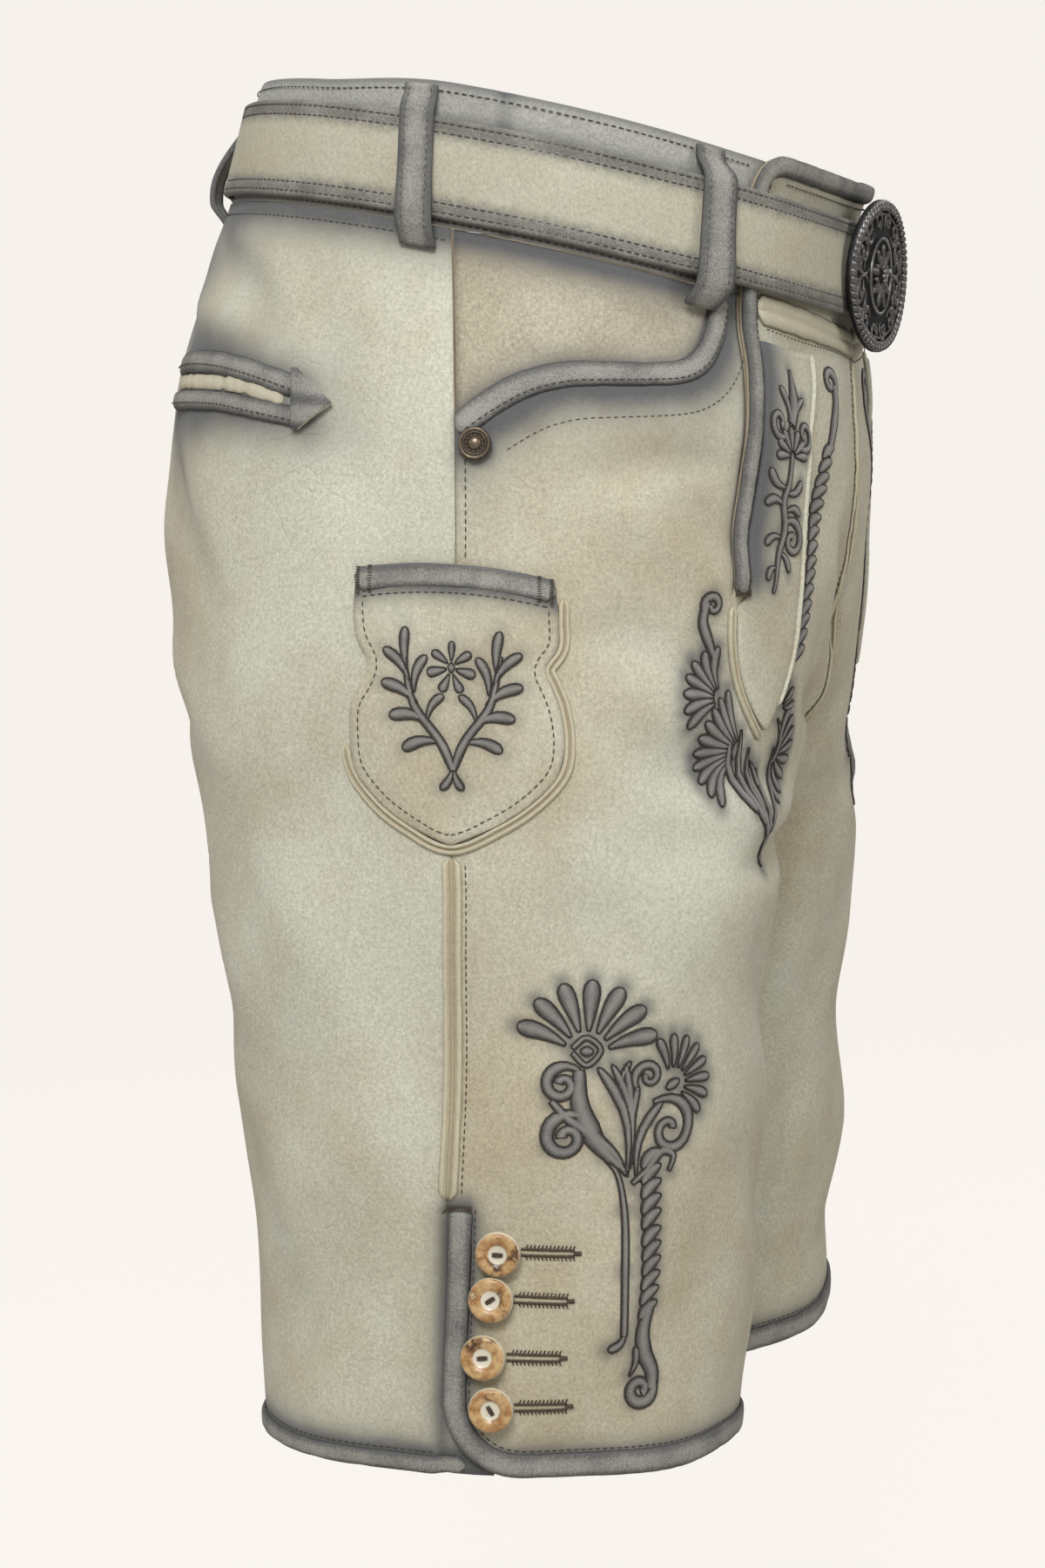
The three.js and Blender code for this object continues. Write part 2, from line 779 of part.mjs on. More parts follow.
function backHemBinding() {
  const z = HEM + HEM_BINDING_WIDTH / 2;
  const [stepIn, stepOut] = [-0.2, -2]; // the binding steps down from the leg to its button stand
  const share = (u) => Math.min(Math.max((u - stepOut) / (stepIn - stepOut), 0), 1);
  const onStand = (u) => mix(GAP, -STAND_DEPTH, share(u));
  const run = spread(24, -8, 1 - backLength(z)).map((u) => [u, z]);
  const path = [[9, z], [4, z], [stepIn, z], [stepOut, z]].concat(run);
  return ribbon(path, HEM_BINDING_WIDTH, onStand);
}

function hornButton({ z, u }) {
  const r = BUTTON_RADIUS;
  const h = BUTTON_HEIGHT;
  const profile = [[0, 0], [r - 1, 0], [r, 1.2], [r, h - 1], [r - 1.2, h], [4, h - 0.9], [0, h - 1.2]];
  return turned(profile, u, z, TRIM + 3 * GAP);
}

pair("side_piping", sidePiping(), creamLeather);
pair("slit_binding", slitBinding(), greyLeather);
pair("back_hem_binding", backHemBinding(), greyLeather);
BUTTONS.forEach((row, i) => pair(`horn_button_${i + 1}`, hornButton(row), horn));

// ---- Belt and its loops ----

function beltOut(u) {
  const v = frontLength(0) - u;
  return mix(BELT_OUT_FRONT, BELT_OUT_SIDE, ease(116, 150, v));
}

// A place on the belt, whose ends keep to the body's as it narrows upwards.
function onBelt(u, z, out) {
  const share = u < 0 ? backLength(z) / backLength(0) : frontLength(z) / frontLength(0);
  return onBody(u * share, z, out);
}

function belt() {
  const length = frontLength(0);
  const stops = spread(18, length, -20).concat(spread(11, -40, GAP - backLength(0)));
  const right = stops.map((u) => [u, 1]);
  const left = stops.slice().reverse().map((u) => [u, -1]);
  left[left.length - 1][0] = length - BELT_FOLD;
  const path = [[length - BELT_TIP, -1]].concat(right, left);
  const joined = path.filter(([u, side], i) => !(side < 0 && i > 1 && u > length - BELT_FOLD));
  const rings = joined.map(([u, side]) => {
    const corner = (z, depth) => {
      const point = onBelt(u, z, beltOut(u) + depth);
      if (side < 0) point.x = -point.x;
      return point;
    };
    return [
      corner(BELT_LOW, 0),
      corner(BELT_LOW, BELT_WALL),
      corner(BELT_HIGH, BELT_WALL),
      corner(BELT_HIGH, 0),
    ];
  });
  return tube(rings);
}

// A loop is sewn down above and below the belt, and stands out over it. over is how much of the
// way out it stands at each height.
const LOOP_PROFILE = table(
  ["z", "over"],
  [
    [27, 0],
    [22, 0],
    [16.5, 0.95],
    [12, 1],
    [-20, 1],
    [-25.5, 0.95],
    [-30, 0],
    [-35, 0],
  ],
);

function beltLoop(middle) {
  const over = (z) => LOOP_PROFILE.find((row) => row.z === z).over;
  return sheet({
    heights: LOOP_PROFILE.map((row) => row.z),
    columns: () => spread(2, middle - LOOP_WIDTH / 2, middle + LOOP_WIDTH / 2),
    top: (u, z) => mix(2 * GAP, beltOut(u) + BELT_WALL + 3 * GAP, over(z)) + LOOP_WALL,
    thickness: LOOP_WALL,
    lift: (u, z) => (over(z) ? 0 : -waistDrop(middle, z)),
  });
}

add("belt_strap", solid(belt(), false), paleLeather);
LOOPS.forEach(({ name, u }) => pair(`belt_loop_${name}`, beltLoop(u), greyLeather));

// ---- Buckle: an oval plate with a raised rim, a loop for the strap's end and a prong ----

function bucklePlate() {
  const half = BUCKLE_HEIGHT / 2;
  const profile = [
    [0, 0],
    [half - 1.5, 0],
    [half, 1],
    [half, BUCKLE_WALL - 0.6],
    [half - 1, BUCKLE_WALL + 0.4],
    [half - 3, BUCKLE_WALL - 0.6],
    [half * 0.6, BUCKLE_WALL],
    [0, BUCKLE_WALL + 0.8],
  ].map(([r, y]) => new THREE.Vector2(r, y));
  const geometry = new THREE.LatheGeometry(profile, 40);
  geometry.rotateX(Math.PI); // the plate's face turns to the front
  geometry.scale(BUCKLE_WIDTH / BUCKLE_HEIGHT, 1, 1);
  const position = geometry.attributes.position;
  for (let i = 0; i < position.count; i++) {
    const x = position.getX(i);
    position.setY(i, position.getY(i) + (x * x) / (2 * BUCKLE_BEND));
  }
  geometry.rotateX(BUCKLE_TILT);
  geometry.rotateZ(-BUCKLE_TURN);
  geometry.translate(0, BUCKLE_BACK, BUCKLE_DROP);
  return geometryFaces(geometry);
}

// y of the plate's back at a place behind it.
function plateBack(x, z) {
  return BUCKLE_BACK + x ** 2 / (2 * BUCKLE_BEND) - BUCKLE_TURN * x - BUCKLE_TILT * (z - BUCKLE_DROP);
}

// A round wire through a few points.
function wire(points, radius, steps) {
  const path = new THREE.CatmullRomCurve3(points, false, "centripetal");
  const shape = new THREE.Shape().absarc(0, 0, radius, 0, 2 * Math.PI);
  const options = { steps, extrudePath: path, curveSegments: 4, bevelEnabled: false };
  return geometryFaces(new THREE.ExtrudeGeometry(shape, options));
}

// The strap's folded end holds this loop's upright, between the strap's two ends.
function buckleLoop() {
  const x = (BELT_TIP + BELT_FOLD) / 2;
  const [high, low] = [BUCKLE_DROP + 23.5, BUCKLE_DROP - 19.5];
  const clear = 0.8;
  const route = [
    [x, plateBack(x, high) + clear, high],
    [x, BUCKLE_UPRIGHT - 1, high],
    [x, BUCKLE_UPRIGHT, high - 2],
    [x, BUCKLE_UPRIGHT, low + 2],
    [x, BUCKLE_UPRIGHT - 1, low],
    [x, plateBack(x, low) + clear, low],
  ].map((p) => new THREE.Vector3(...p));
  return wire(route, BUCKLE_WIRE, 20);
}

// The prong stands on the plate's back and points into the strap's hole.
function buckleProng() {
  const [length, clear] = [1.3, 0.8];
  const geometry = new THREE.CylinderGeometry(BUCKLE_WIRE, BUCKLE_WIRE, length, 10);
  const middle = plateBack(-BELT_TIP, BUCKLE_DROP) + clear + length / 2;
  geometry.translate(-BELT_TIP, middle, BUCKLE_DROP);
  return geometryFaces(geometry);
}

add("buckle_plate", solid(bucklePlate(), false), antiqueMetal);
add("buckle_loop", solid(buckleLoop(), false), antiqueMetal);
add("buckle_prong", solid(buckleProng(), false), antiqueMetal);

export default root;
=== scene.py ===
import math

import bmesh
import bpy
import numpy as np
from mathutils import Matrix, Vector


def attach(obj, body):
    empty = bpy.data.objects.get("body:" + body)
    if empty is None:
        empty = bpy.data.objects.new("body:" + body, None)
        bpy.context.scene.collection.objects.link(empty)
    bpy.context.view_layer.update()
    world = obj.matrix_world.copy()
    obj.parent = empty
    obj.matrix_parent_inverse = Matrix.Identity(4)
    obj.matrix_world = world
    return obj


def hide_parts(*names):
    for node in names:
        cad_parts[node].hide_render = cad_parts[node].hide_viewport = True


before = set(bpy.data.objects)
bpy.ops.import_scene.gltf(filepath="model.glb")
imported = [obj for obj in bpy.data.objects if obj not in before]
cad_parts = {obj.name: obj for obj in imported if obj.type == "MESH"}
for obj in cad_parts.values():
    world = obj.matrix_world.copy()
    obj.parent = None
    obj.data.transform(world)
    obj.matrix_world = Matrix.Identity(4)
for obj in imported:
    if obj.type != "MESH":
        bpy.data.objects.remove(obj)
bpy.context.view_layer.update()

MM = 0.001
RIGHT, LEFT = -1, 1
SIDES = {RIGHT: "right", LEFT: "left"}

# ---- Driving dimensions, as in the part's source ----

GAP = 0.3
LEATHER = 1.6
TRIM = 1.4
WAIST_SEAM = -26
WAISTBAND_TOP = 29
WAISTBAND_WALL = 2
WAISTBAND_DROP = 5
WAIST_HALF_WIDTH = 163
HEM = -502
FLAP_TOP = 31
FLAP_TACK = -152
FLAP_STAND = 2.2
FLAP_LEAN = 3.8
FLAP_BINDING_WIDTH = 7
SLIT_TOP = -393
SLIT_CORNER = 32
SLIT_BINDING_WIDTH = 10
HEM_BINDING_WIDTH = 8
STAND_REACH = 21
STAND_DEPTH = LEATHER + 4 * GAP
BELT_LOW, BELT_HIGH, BELT_WALL = -23.5, 15, 3.2
BELT_OUT_SIDE, BELT_OUT_FRONT = 0.9, 5.2
BELT_TIP, BELT_FOLD = 26, 38
BUCKLE_WIDTH, BUCKLE_HEIGHT, BUCKLE_BACK, BUCKLE_WALL = 84, 63, -137, 3
BUCKLE_BEND, BUCKLE_DROP, BUCKLE_TILT, BUCKLE_TURN = 500, -30, 0.04, 0.11
BUCKLE_UPRIGHT = -129.6
BUTTONS = [(-411, 21), (-430, 19), (-453, 17), (-473, 20)]
BUTTON_RADIUS, BUTTON_HEIGHT = 8.7, 4.8
LOOPS = {"front": 99, "side": -13, "back": -206}
LOOP_WIDTH, LOOP_WALL = 12, 2.2
POCKET_ANCHOR = -105


def table(columns, rows):
    values = np.array(rows, float)
    return {name: values[:, i] for i, name in enumerate(columns.split())}


BODY = table("z outer centre inner front back middle power tilt bow splay seam", [
    [30, 160, 0, 999, 123, 115, 0, 2.3, 0.187, 10.5, 0, 0],
    [-26, 163, 0, 999, 123.5, 131, 0, 2.3, 0.187, 10.5, 0, 0],
    [-60, 172, 0, 999, 127.5, 145, 2, 2.3, 0.15, 8, 0, 5],
    [-100, 180, 6, 400, 129, 155, 4, 2.3, 0.1, 5, 0, 10],
    [-140, 185, 18, 230, 127, 154.5, 6, 2.3, 0.06, 3, 0, 13],
    [-180, 188, 36, 170, 122, 147, 6, 2.3, 0.03, 1.5, 0, 13],
    [-215, 190, 56, 132, 118, 137, 5, 2.3, 0.01, 0.5, 0, 13],
    [-245, 191, 76, 105, 114, 128, 4, 2.25, 0, 0, 0, 11],
    [-268, 192, 91, 91, 114, 121.5, 2, 2.2, 0, 0, 0.01, 10],
    [-300, 192.5, 93, 91.5, 112, 117, 0, 2.2, 0, 0, 0.02, 8],
    [-350, 194, 95, 91.5, 109.5, 109.5, -2, 2.2, 0, 0, 0.04, 6],
    [-410, 196, 97, 91, 106, 102, -4, 2.2, 0, 0, 0.06, 2],
    [-460, 198, 98.5, 90.5, 102.5, 96, -5, 2.2, 0, 0, 0.075, 0],
    [-502, 200, 100, 90, 101, 93, -5, 2.2, 0, 0, 0.084, 0],
])
FLAP_EDGE = table("z v", [
    [31, 90], [28, 97], [22, 102], [13, 105], [-27, 112], [-47, 115], [-92, 122.5], [-119, 128], [-152, 132],
])
POCKET_MOUTH = table("u z", [
    [0, -97], [13, -87], [27, -78], [43, -72], [60, -69], [78, -66], [92, -62.5], [101, -56],
    [107.5, -45], [110.5, -33], [111.5, -26],
])
STRIP = table("z outer inner", [
    [-44, 105.5, 64], [-72, 110, 68.5], [-105, 116, 77.5], [-130, 121, 81], [-151, 123, 84],
    [-157, 129, 85], [-173, 127.5, 86.5], [-192, 120.5, 92], [-203, 113.5, 99], [-209, 108, 105.5],
])
KNIFE_POCKET = table("z left right", [
    [-149, -38, 38], [-164, -39, 40], [-174, -37.5, 40], [-182, -33, 35], [-189, -35, 37.5],
    [-197, -40, 40.5], [-209, -41, 42], [-221, -39.5, 40], [-232, -30, 31], [-241, -17, 18],
    [-248.5, -1, 1],
])
KNIFE_POCKET_ARCH = 4
UPPER_WELT = [(-178, -85), (-134, -83.3), (-110, -83.5), (-88, -85.5), (-66, -89)]
LOWER_WELT = [(-178, -97.5), (-134, -96.5), (-110, -96.2), (-86, -97.5), (-63, -99.3)]

# Folds of the worn leather: a line from (u0, z0) to (u1, z1) that bows sideways by bow, how far it
# rises (minus for a trough) and its half width.
FOLDS = "u0 z0 u1 z1 bow rise width"
FOLDS_RIGHT = table(FOLDS, [
    [-150, -40, -70, -72, 6, -1.6, 13], [-165, -60, -96, -70, -3, 1.2, 9], [-60, -50, -40, -130, 5, -1.2, 16],
    [-190, -118, -110, -170, 8, -1.7, 17], [-232, -150, -150, -215, -9, -2.2, 15], [-205, -190, -96, -232, 10, 1.3, 18],
    [-250, -222, -170, -262, 8, -2.6, 14], [-262, -262, -150, -286, -8, 2, 15], [-200, -300, -90, -352, 6, -1.5, 24],
    [-120, -370, -60, -470, 8, -1.3, 22], [-190, -390, -160, -490, -6, 1.3, 20], [-90, -255, -40, -340, 6, 0.9, 20],
    [40, -112, 118, -96, 4, -1.3, 12], [60, -120, 150, -150, -6, 1.2, 14], [44, -168, 128, -196, 8, -1.4, 15],
    [58, -205, 190, -236, -6, -1.8, 16], [70, -238, 205, -252, 5, 1.5, 13], [120, -262, 240, -246, -6, -2.4, 11],
    [30, -268, 110, -330, 9, -1.2, 22], [140, -290, 215, -352, -8, -1.5, 20], [128, -392, 182, -470, 6, 1.3, 18],
    [205, -372, 235, -480, 5, -1.6, 17], [170, -66, 178, -128, 2, -0.8, 9], [215, -120, 262, -190, -4, -1.8, 12],
    [196, -196, 268, -236, 5, -2, 10], [230, -226, 290, -262, -4, 2, 9], [90, -352, 120, -410, 5, -0.8, 16],
])
FOLDS_LEFT = table(FOLDS, [
    [-158, -46, -84, -66, -5, -1.4, 12], [-70, -44, -52, -120, -5, -1.3, 15], [-196, -124, -120, -160, 6, -1.9, 16],
    [-238, -160, -140, -225, 9, -2, 16], [-210, -200, -110, -222, -8, 1.4, 16], [-255, -228, -160, -270, -7, -2.4, 13],
    [-258, -270, -140, -276, 7, 1.8, 14], [-190, -310, -96, -340, -6, -1.4, 22], [-110, -380, -70, -460, -8, -1.5, 20],
    [-196, -380, -150, -486, 6, 1.4, 22], [46, -116, 124, -100, -3, -1.2, 12], [66, -126, 144, -144, 5, 1.1, 13],
    [36, -158, 120, -204, -7, -1.7, 16], [64, -214, 184, -228, 6, -1.7, 15], [80, -244, 196, -258, -4, 1.6, 14],
    [110, -270, 236, -250, 6, -2.2, 12], [40, -282, 100, -340, -8, -1.3, 20], [150, -300, 208, -362, 7, -1.6, 19],
    [120, -400, 190, -460, -6, 1.2, 18], [212, -366, 232, -474, -5, -1.5, 16], [172, -70, 176, -120, -2, -0.8, 9],
    [220, -130, 258, -186, 4, -1.7, 12], [200, -204, 270, -230, -5, -1.9, 10], [236, -232, 286, -258, 4, 1.8, 9],
])

# ---- Reading the tables ----


def smooth(x, y, at):
    """Monotone cubic through points: it never swings past them."""
    if x[0] > x[-1]:
        x, y = x[::-1], y[::-1]
    step, rise = np.diff(x), np.diff(y) / np.diff(x)
    slope = np.zeros(len(x))
    slope[0], slope[-1] = rise[0], rise[-1]
    before, after = 2 * step[1:] + step[:-1], step[1:] + 2 * step[:-1]
    same = rise[:-1] * rise[1:] > 0
    safe = lambda values: np.where(same, values, 1)
    slope[1:-1] = np.where(same, (before + after) / (before / safe(rise[:-1]) + after / safe(rise[1:])), 0)
    t = np.clip(at, x[0], x[-1])
    i = np.clip(np.searchsorted(x, t, side="right") - 1, 0, len(x) - 2)
    s = (t - x[i]) / step[i]
    return (
        y[i] * (1 + 2 * s) * (1 - s) ** 2 + slope[i] * step[i] * s * (1 - s) ** 2
        + y[i + 1] * s * s * (3 - 2 * s) - slope[i + 1] * step[i] * s * s * (1 - s)
    )


def ease(low, high, at):
    t = np.clip((np.asarray(at, float) - low) / (high - low), 0, 1)
    return t * t * (3 - 2 * t)


def bell(distance, width):
    return np.exp(-((distance / width) ** 2))


def mix(a, b, t):
    return a + (b - a) * t


def curve(points, spacing=3.0):
    """A smooth path through a few points, with points at equal distances along it."""
    p = np.array(points, float)
    ends = np.vstack([2 * p[0] - p[1], p, 2 * p[-1] - p[-2]])
    t = np.linspace(0, 1, 12, endpoint=False)[:, None]
    parts = []
    for a, b, c, d in zip(ends, ends[1:], ends[2:], ends[3:]):
        parts.append(0.5 * (2 * b + (c - a) * t + (2 * a - 5 * b + 4 * c - d) * t**2 + (3 * b - a - 3 * c + d) * t**3))
    return even(np.vstack(parts + [p[-1:]]), spacing)


def even(points, spacing=3.0):
    """The same path with points at equal distances."""
    p = np.array(points, float)
    along = run(p)
    count = max(int(round(along[-1] / spacing)), 2)
    at = np.linspace(0, along[-1], count + 1)
    return np.column_stack([np.interp(at, along, p[:, k]) for k in range(p.shape[1])])


def run(points):
    """Distance along a path at each of its points."""
    return np.concatenate([[0], np.cumsum(np.linalg.norm(np.diff(points, axis=0), axis=1))])


def sideways(path):
    """Unit vectors across a flat path, to the left of its direction."""
    along = np.gradient(path, axis=0)
    along /= np.linalg.norm(along, axis=1)[:, None] + 1e-9
    return np.column_stack([-along[:, 1], along[:, 0]])


def beside(path, distance):
    return path + sideways(path) * distance


def nearest(u, z, path):
    """Distance from each (u, z) to a path."""
    best = np.full(np.shape(u), 1e9)
    for (a, b), (c, d) in zip(path[:-1], path[1:]):
        length2 = (c - a) ** 2 + (d - b) ** 2 + 1e-9
        t = np.clip(((u - a) * (c - a) + (z - b) * (d - b)) / length2, 0, 1)
        best = np.minimum(best, np.hypot(u - a - t * (c - a), z - b - t * (d - b)))
    return best


# ---- The body's surface ----

LATTICE_LOW, LATTICE_HIGH, HALF_COLUMNS = -516, 40, 220
MEETING = 0.03  # how near the halves come to the middle where they are sewn together


def section(angle, z, level):
    c, s = np.cos(angle), -np.sin(angle)
    reach = 2 / level["power"]
    half = np.where(c > 0, level["inner"], level["outer"] - level["centre"])
    depth = np.where(s < 0, level["middle"] + level["front"], level["back"] - level["middle"])
    x = -level["centre"] + half * np.sign(c) * np.abs(c) ** reach
    y = level["middle"] + depth * np.sign(s) * np.abs(s) ** reach
    rise = level["tilt"] * y + level["bow"] * (x / WAIST_HALF_WIDTH) ** 2
    return np.stack([x, y, z + rise - level["splay"] * (x + level["centre"])], axis=-1)


def relief(side, u, z, front, back):
    """How far the worn leather stands in or out of its cut, from folds, seams and handling."""
    total = folds(side, u, z)
    waves = np.random.default_rng(7 + side)
    for _ in range(7):
        angle, size, phase = waves.uniform(0, math.pi), waves.uniform(60, 150), waves.uniform(0, 6.28)
        total += 0.6 * np.sin((u * math.cos(angle) + z * math.sin(angle)) * 6.28 / size + phase)
    pucker = np.sin(z / 1.9 + 2 * np.sin(z / 9.0))
    for seam, depth in ((np.abs(u), 0.55), (back + u, 1.1), (front - u, 0.7)):
        total += -depth * bell(seam, 3.2) + 0.16 * pucker * bell(seam - 4, 5)
    hem = z - HEM
    total += 0.35 * np.sin(u / 13 + 1.3 * np.sin(u / 31)) * bell(hem, 26)
    return total * ease(WAIST_SEAM - 4, WAIST_SEAM - 22, z)


def folds(side, u, z):
    """The listed folds alone: minus in the troughs."""
    lines = FOLDS_RIGHT if side == RIGHT else FOLDS_LEFT
    total = np.zeros(np.broadcast(u, z).shape)
    for u0, z0, u1, z1, bow, rise, width in zip(*lines.values()):
        length = math.hypot(u1 - u0, z1 - z0)
        du, dz = (u1 - u0) / length, (z1 - z0) / length
        t = ((u - u0) * du + (z - z0) * dz) / length
        off = -(u - u0) * dz + (z - z0) * du - bow * 4 * t * (1 - t)
        ends = ease(-0.15, 0.3, t) * ease(1.15, 0.7, t)
        total += 2.3 * rise * ends * bell(off, 0.78 * width)
    return total


def make_lattice(side):
    heights = np.arange(LATTICE_LOW, LATTICE_HIGH + 1.0)
    level = {name: smooth(BODY["z"], BODY[name], heights)[:, None] for name in BODY if name != "z"}
    meets = level["inner"] > level["centre"]
    share = np.clip(level["centre"] / level["inner"], 0, 1) ** (level["power"] / 2)
    start = np.where(meets, np.arccos(share), 0)
    turn = np.linspace(0, 1, 481)[None, :]
    angles = mix(2 * math.pi - start, start, turn)
    rough = section(angles, heights[:, None], level)
    steps = np.hypot(*np.moveaxis(np.diff(rough[..., :2], axis=1), -1, 0))
    along = np.concatenate([np.zeros((len(heights), 1)), np.cumsum(steps, axis=1)], axis=1)
    along -= along[:, 240:241] + level["seam"]
    front, back = along[:, -1], -along[:, 0]
    half = np.linspace(0, 1, HALF_COLUMNS + 1)
    u = np.concatenate([-back[:, None] * half[:0:-1], front[:, None] * half], axis=1)
    angle = np.array([np.interp(u[r], along[r], angles[r]) for r in range(len(heights))])
    points = section(angle, heights[:, None], level)
    normals = across_grid(points)
    points = points + normals * relief(side, u, heights[:, None], front[:, None], back[:, None])[..., None]
    normals = across_grid(points)
    points[..., 0] = np.minimum(points[..., 0], -MEETING)
    points[..., 0] *= -side
    normals[..., 0] *= -side
    return {"points": points, "normals": normals, "front": front, "back": back}


def across_grid(points):
    """Unit normals of a grid of points on the wearer's right, outwards."""
    normal = np.cross(np.gradient(points, axis=1), np.gradient(points, axis=0))
    return normal / (np.linalg.norm(normal, axis=-1)[..., None] + 1e-9)


BODY_LATTICE = {side: make_lattice(side) for side in SIDES}


def front_length(z, side=RIGHT):
    rows = np.arange(LATTICE_LOW, LATTICE_HIGH + 1.0)
    return np.interp(z, rows, BODY_LATTICE[side]["front"])


def back_length(z, side=RIGHT):
    rows = np.arange(LATTICE_LOW, LATTICE_HIGH + 1.0)
    return np.interp(z, rows, BODY_LATTICE[side]["back"])


def on_body(side, u, z, out=0.0):
    u, z, out = np.broadcast_arrays(np.asarray(u, float), np.asarray(z, float), np.asarray(out, float))
    lattice = BODY_LATTICE[side]
    share = np.where(u >= 0, u / front_length(z), u / back_length(z))
    column = np.clip((np.clip(share, -1, 1) + 1) * HALF_COLUMNS, 0, 2 * HALF_COLUMNS - 1e-6)
    row = np.clip(z - LATTICE_LOW, 0, LATTICE_HIGH - LATTICE_LOW - 1e-6)
    r, c = row.astype(int), column.astype(int)
    fr, fc = (row - r)[..., None], (column - c)[..., None]

    def read(grid):
        return mix(mix(grid[r, c], grid[r, c + 1], fc), mix(grid[r + 1, c], grid[r + 1, c + 1], fc), fr)

    normal = read(lattice["normals"])
    point = read(lattice["points"]) + normal * out[..., None]
    point[..., 0] = np.where(side * point[..., 0] < MEETING, side * MEETING, point[..., 0])
    return point


def flap_stand(z):
    return FLAP_STAND * ease(FLAP_TACK, WAIST_SEAM, z) + FLAP_LEAN * ease(BELT_HIGH, FLAP_TOP, z)


def on_leather(side, lift=0.0):
    """Where (u, z, height) lies on the leather."""
    return lambda u, z, height: on_body(side, u, z, lift + height)


def on_flap(side, lift=0.0):
    """Where (v, z, height) lies on the drop flap or below it, v from the centre front."""
    return lambda v, z, height: on_body(side, front_length(z) - v, z, lift + flap_stand(z) + height)


def over_flap(lift=0.0):
    """The same across both halves: v is plus on the wearer's right and minus on the left."""
    def place(v, z, height):
        v, z, height = np.broadcast_arrays(v, z, height)
        right = on_flap(RIGHT, lift)(np.abs(v), z, height)
        left = on_flap(LEFT, lift)(np.abs(v), z, height)
        return np.where((v > 0)[..., None], right, left)
    return place


# ---- Meshes ----

CLOTH_CELL = 3.4


def keep_object(name, mesh, materials, smooth_shading=True):
    for material in materials:
        mesh.materials.append(material)
    mesh.polygons.foreach_set("use_smooth", [smooth_shading] * len(mesh.polygons))
    made = bpy.data.objects.new(name, mesh)
    bpy.context.scene.collection.objects.link(made)
    return made


def write_values(mesh, name, values):
    layer = mesh.attributes.new(name, "FLOAT", "POINT")
    layer.data.foreach_set("value", np.asarray(values, np.float32).ravel())


def grid_object(name, points, materials, keep=None, values=None, closed=False, outward=None):
    """A grid of points as a mesh. keep says which cells stay, values are attributes of its points, and
    closed joins its last column to its first and caps its ends."""
    rows, columns = points.shape[:2]
    bm = bmesh.new()
    bmesh.ops.create_grid(bm, x_segments=columns - 1, y_segments=rows - 1, size=1)
    mesh = bpy.data.meshes.new(name)
    bm.to_mesh(mesh)
    bm.free()
    flat = np.zeros(rows * columns * 3, np.float32)
    mesh.vertices.foreach_get("co", flat)
    flat = flat.reshape(-1, 3)
    column = np.rint((flat[:, 0] + 1) / 2 * (columns - 1)).astype(int)
    row = np.rint((flat[:, 1] + 1) / 2 * (rows - 1)).astype(int)
    mesh.vertices.foreach_set("co", (points[row, column] * MM).astype(np.float32).ravel())
    for key, value in (values or {}).items():
        write_values(mesh, key, np.broadcast_to(value, (rows, columns))[row, column])
    bm = bmesh.new()
    bm.from_mesh(mesh)
    if keep is not None:
        corner = {i: (row[i], column[i]) for i in range(len(row))}
        gone = []
        for face in bm.faces:
            cells = [corner[v.index] for v in face.verts]
            if not keep[min(c[0] for c in cells), min(c[1] for c in cells)]:
                gone.append(face)
        bmesh.ops.delete(bm, geom=gone, context="FACES")
    if closed:
        bmesh.ops.remove_doubles(bm, verts=bm.verts, dist=1e-7)
        rims = [e for e in bm.edges if e.is_boundary]
        bmesh.ops.holes_fill(bm, edges=rims, sides=0)
        bmesh.ops.recalc_face_normals(bm, faces=bm.faces)
    bm.to_mesh(mesh)
    bm.free()
    if outward is not None:
        mesh.update()
        middle = [p for p in mesh.polygons][:: max(len(mesh.polygons) // 200, 1)]
        side = sum(p.normal.dot(Vector(outward(p.center / MM))) for p in middle)
        if side < 0:
            mesh.flip_normals()
    return keep_object(name, mesh, materials)


def away_from_leg(side):
    """Roughly outwards, for turning a sheet's faces."""
    def direction(p):
        centre_x = side * mix(0.0, 95.0, float(ease(-180, -268, p.z)))
        return (p.x - centre_x, p.y, 0)
    return direction


def thicken(made, wall, inside=True):
    solid = made.modifiers.new("leather", "SOLIDIFY")
    solid.thickness = wall * MM
    solid.offset = -1
    solid.use_rim = True
    if inside:
        solid.material_offset = 1
        solid.material_offset_rim = 1
    return made


def wobble(along, seed, size=14.0):
    """An uneven wave from -1 to 1 along a length."""
    draw = np.random.default_rng(seed)
    total = sum(np.sin(along * 6.28 / (size * draw.uniform(0.5, 2)) + draw.uniform(0, 6.28)) for _ in range(4))
    return total / 4


def roll_section(width, height, square=2.6, count=9):
    """A soft rolled strip: its dome from one foot to the other."""
    t = np.linspace(-1, 1, count)
    t = np.sign(t) * np.abs(t) ** 0.8
    return np.column_stack([-t * width / 2, height * (1 - np.abs(t) ** square) ** 0.6])


def cords_section(width, height, cords, count=7):
    """Cords that lie side by side."""
    t = np.linspace(0, 1, cords * count + 1)
    return np.column_stack([(0.5 - t) * width, height * (0.12 + 0.88 * np.abs(np.sin(math.pi * cords * t)) ** 0.7)])


def strip_points(place, path, shape, swell=None):
    swell = np.ones(len(path)) if swell is None else swell
    across = sideways(path)
    offset = shape[None, :, 0] * np.minimum(swell, 1)[:, None]
    at = path[:, None, :] + across[:, None, :] * offset[..., None]
    return place(at[..., 0], at[..., 1], shape[None, :, 1] * swell[:, None])


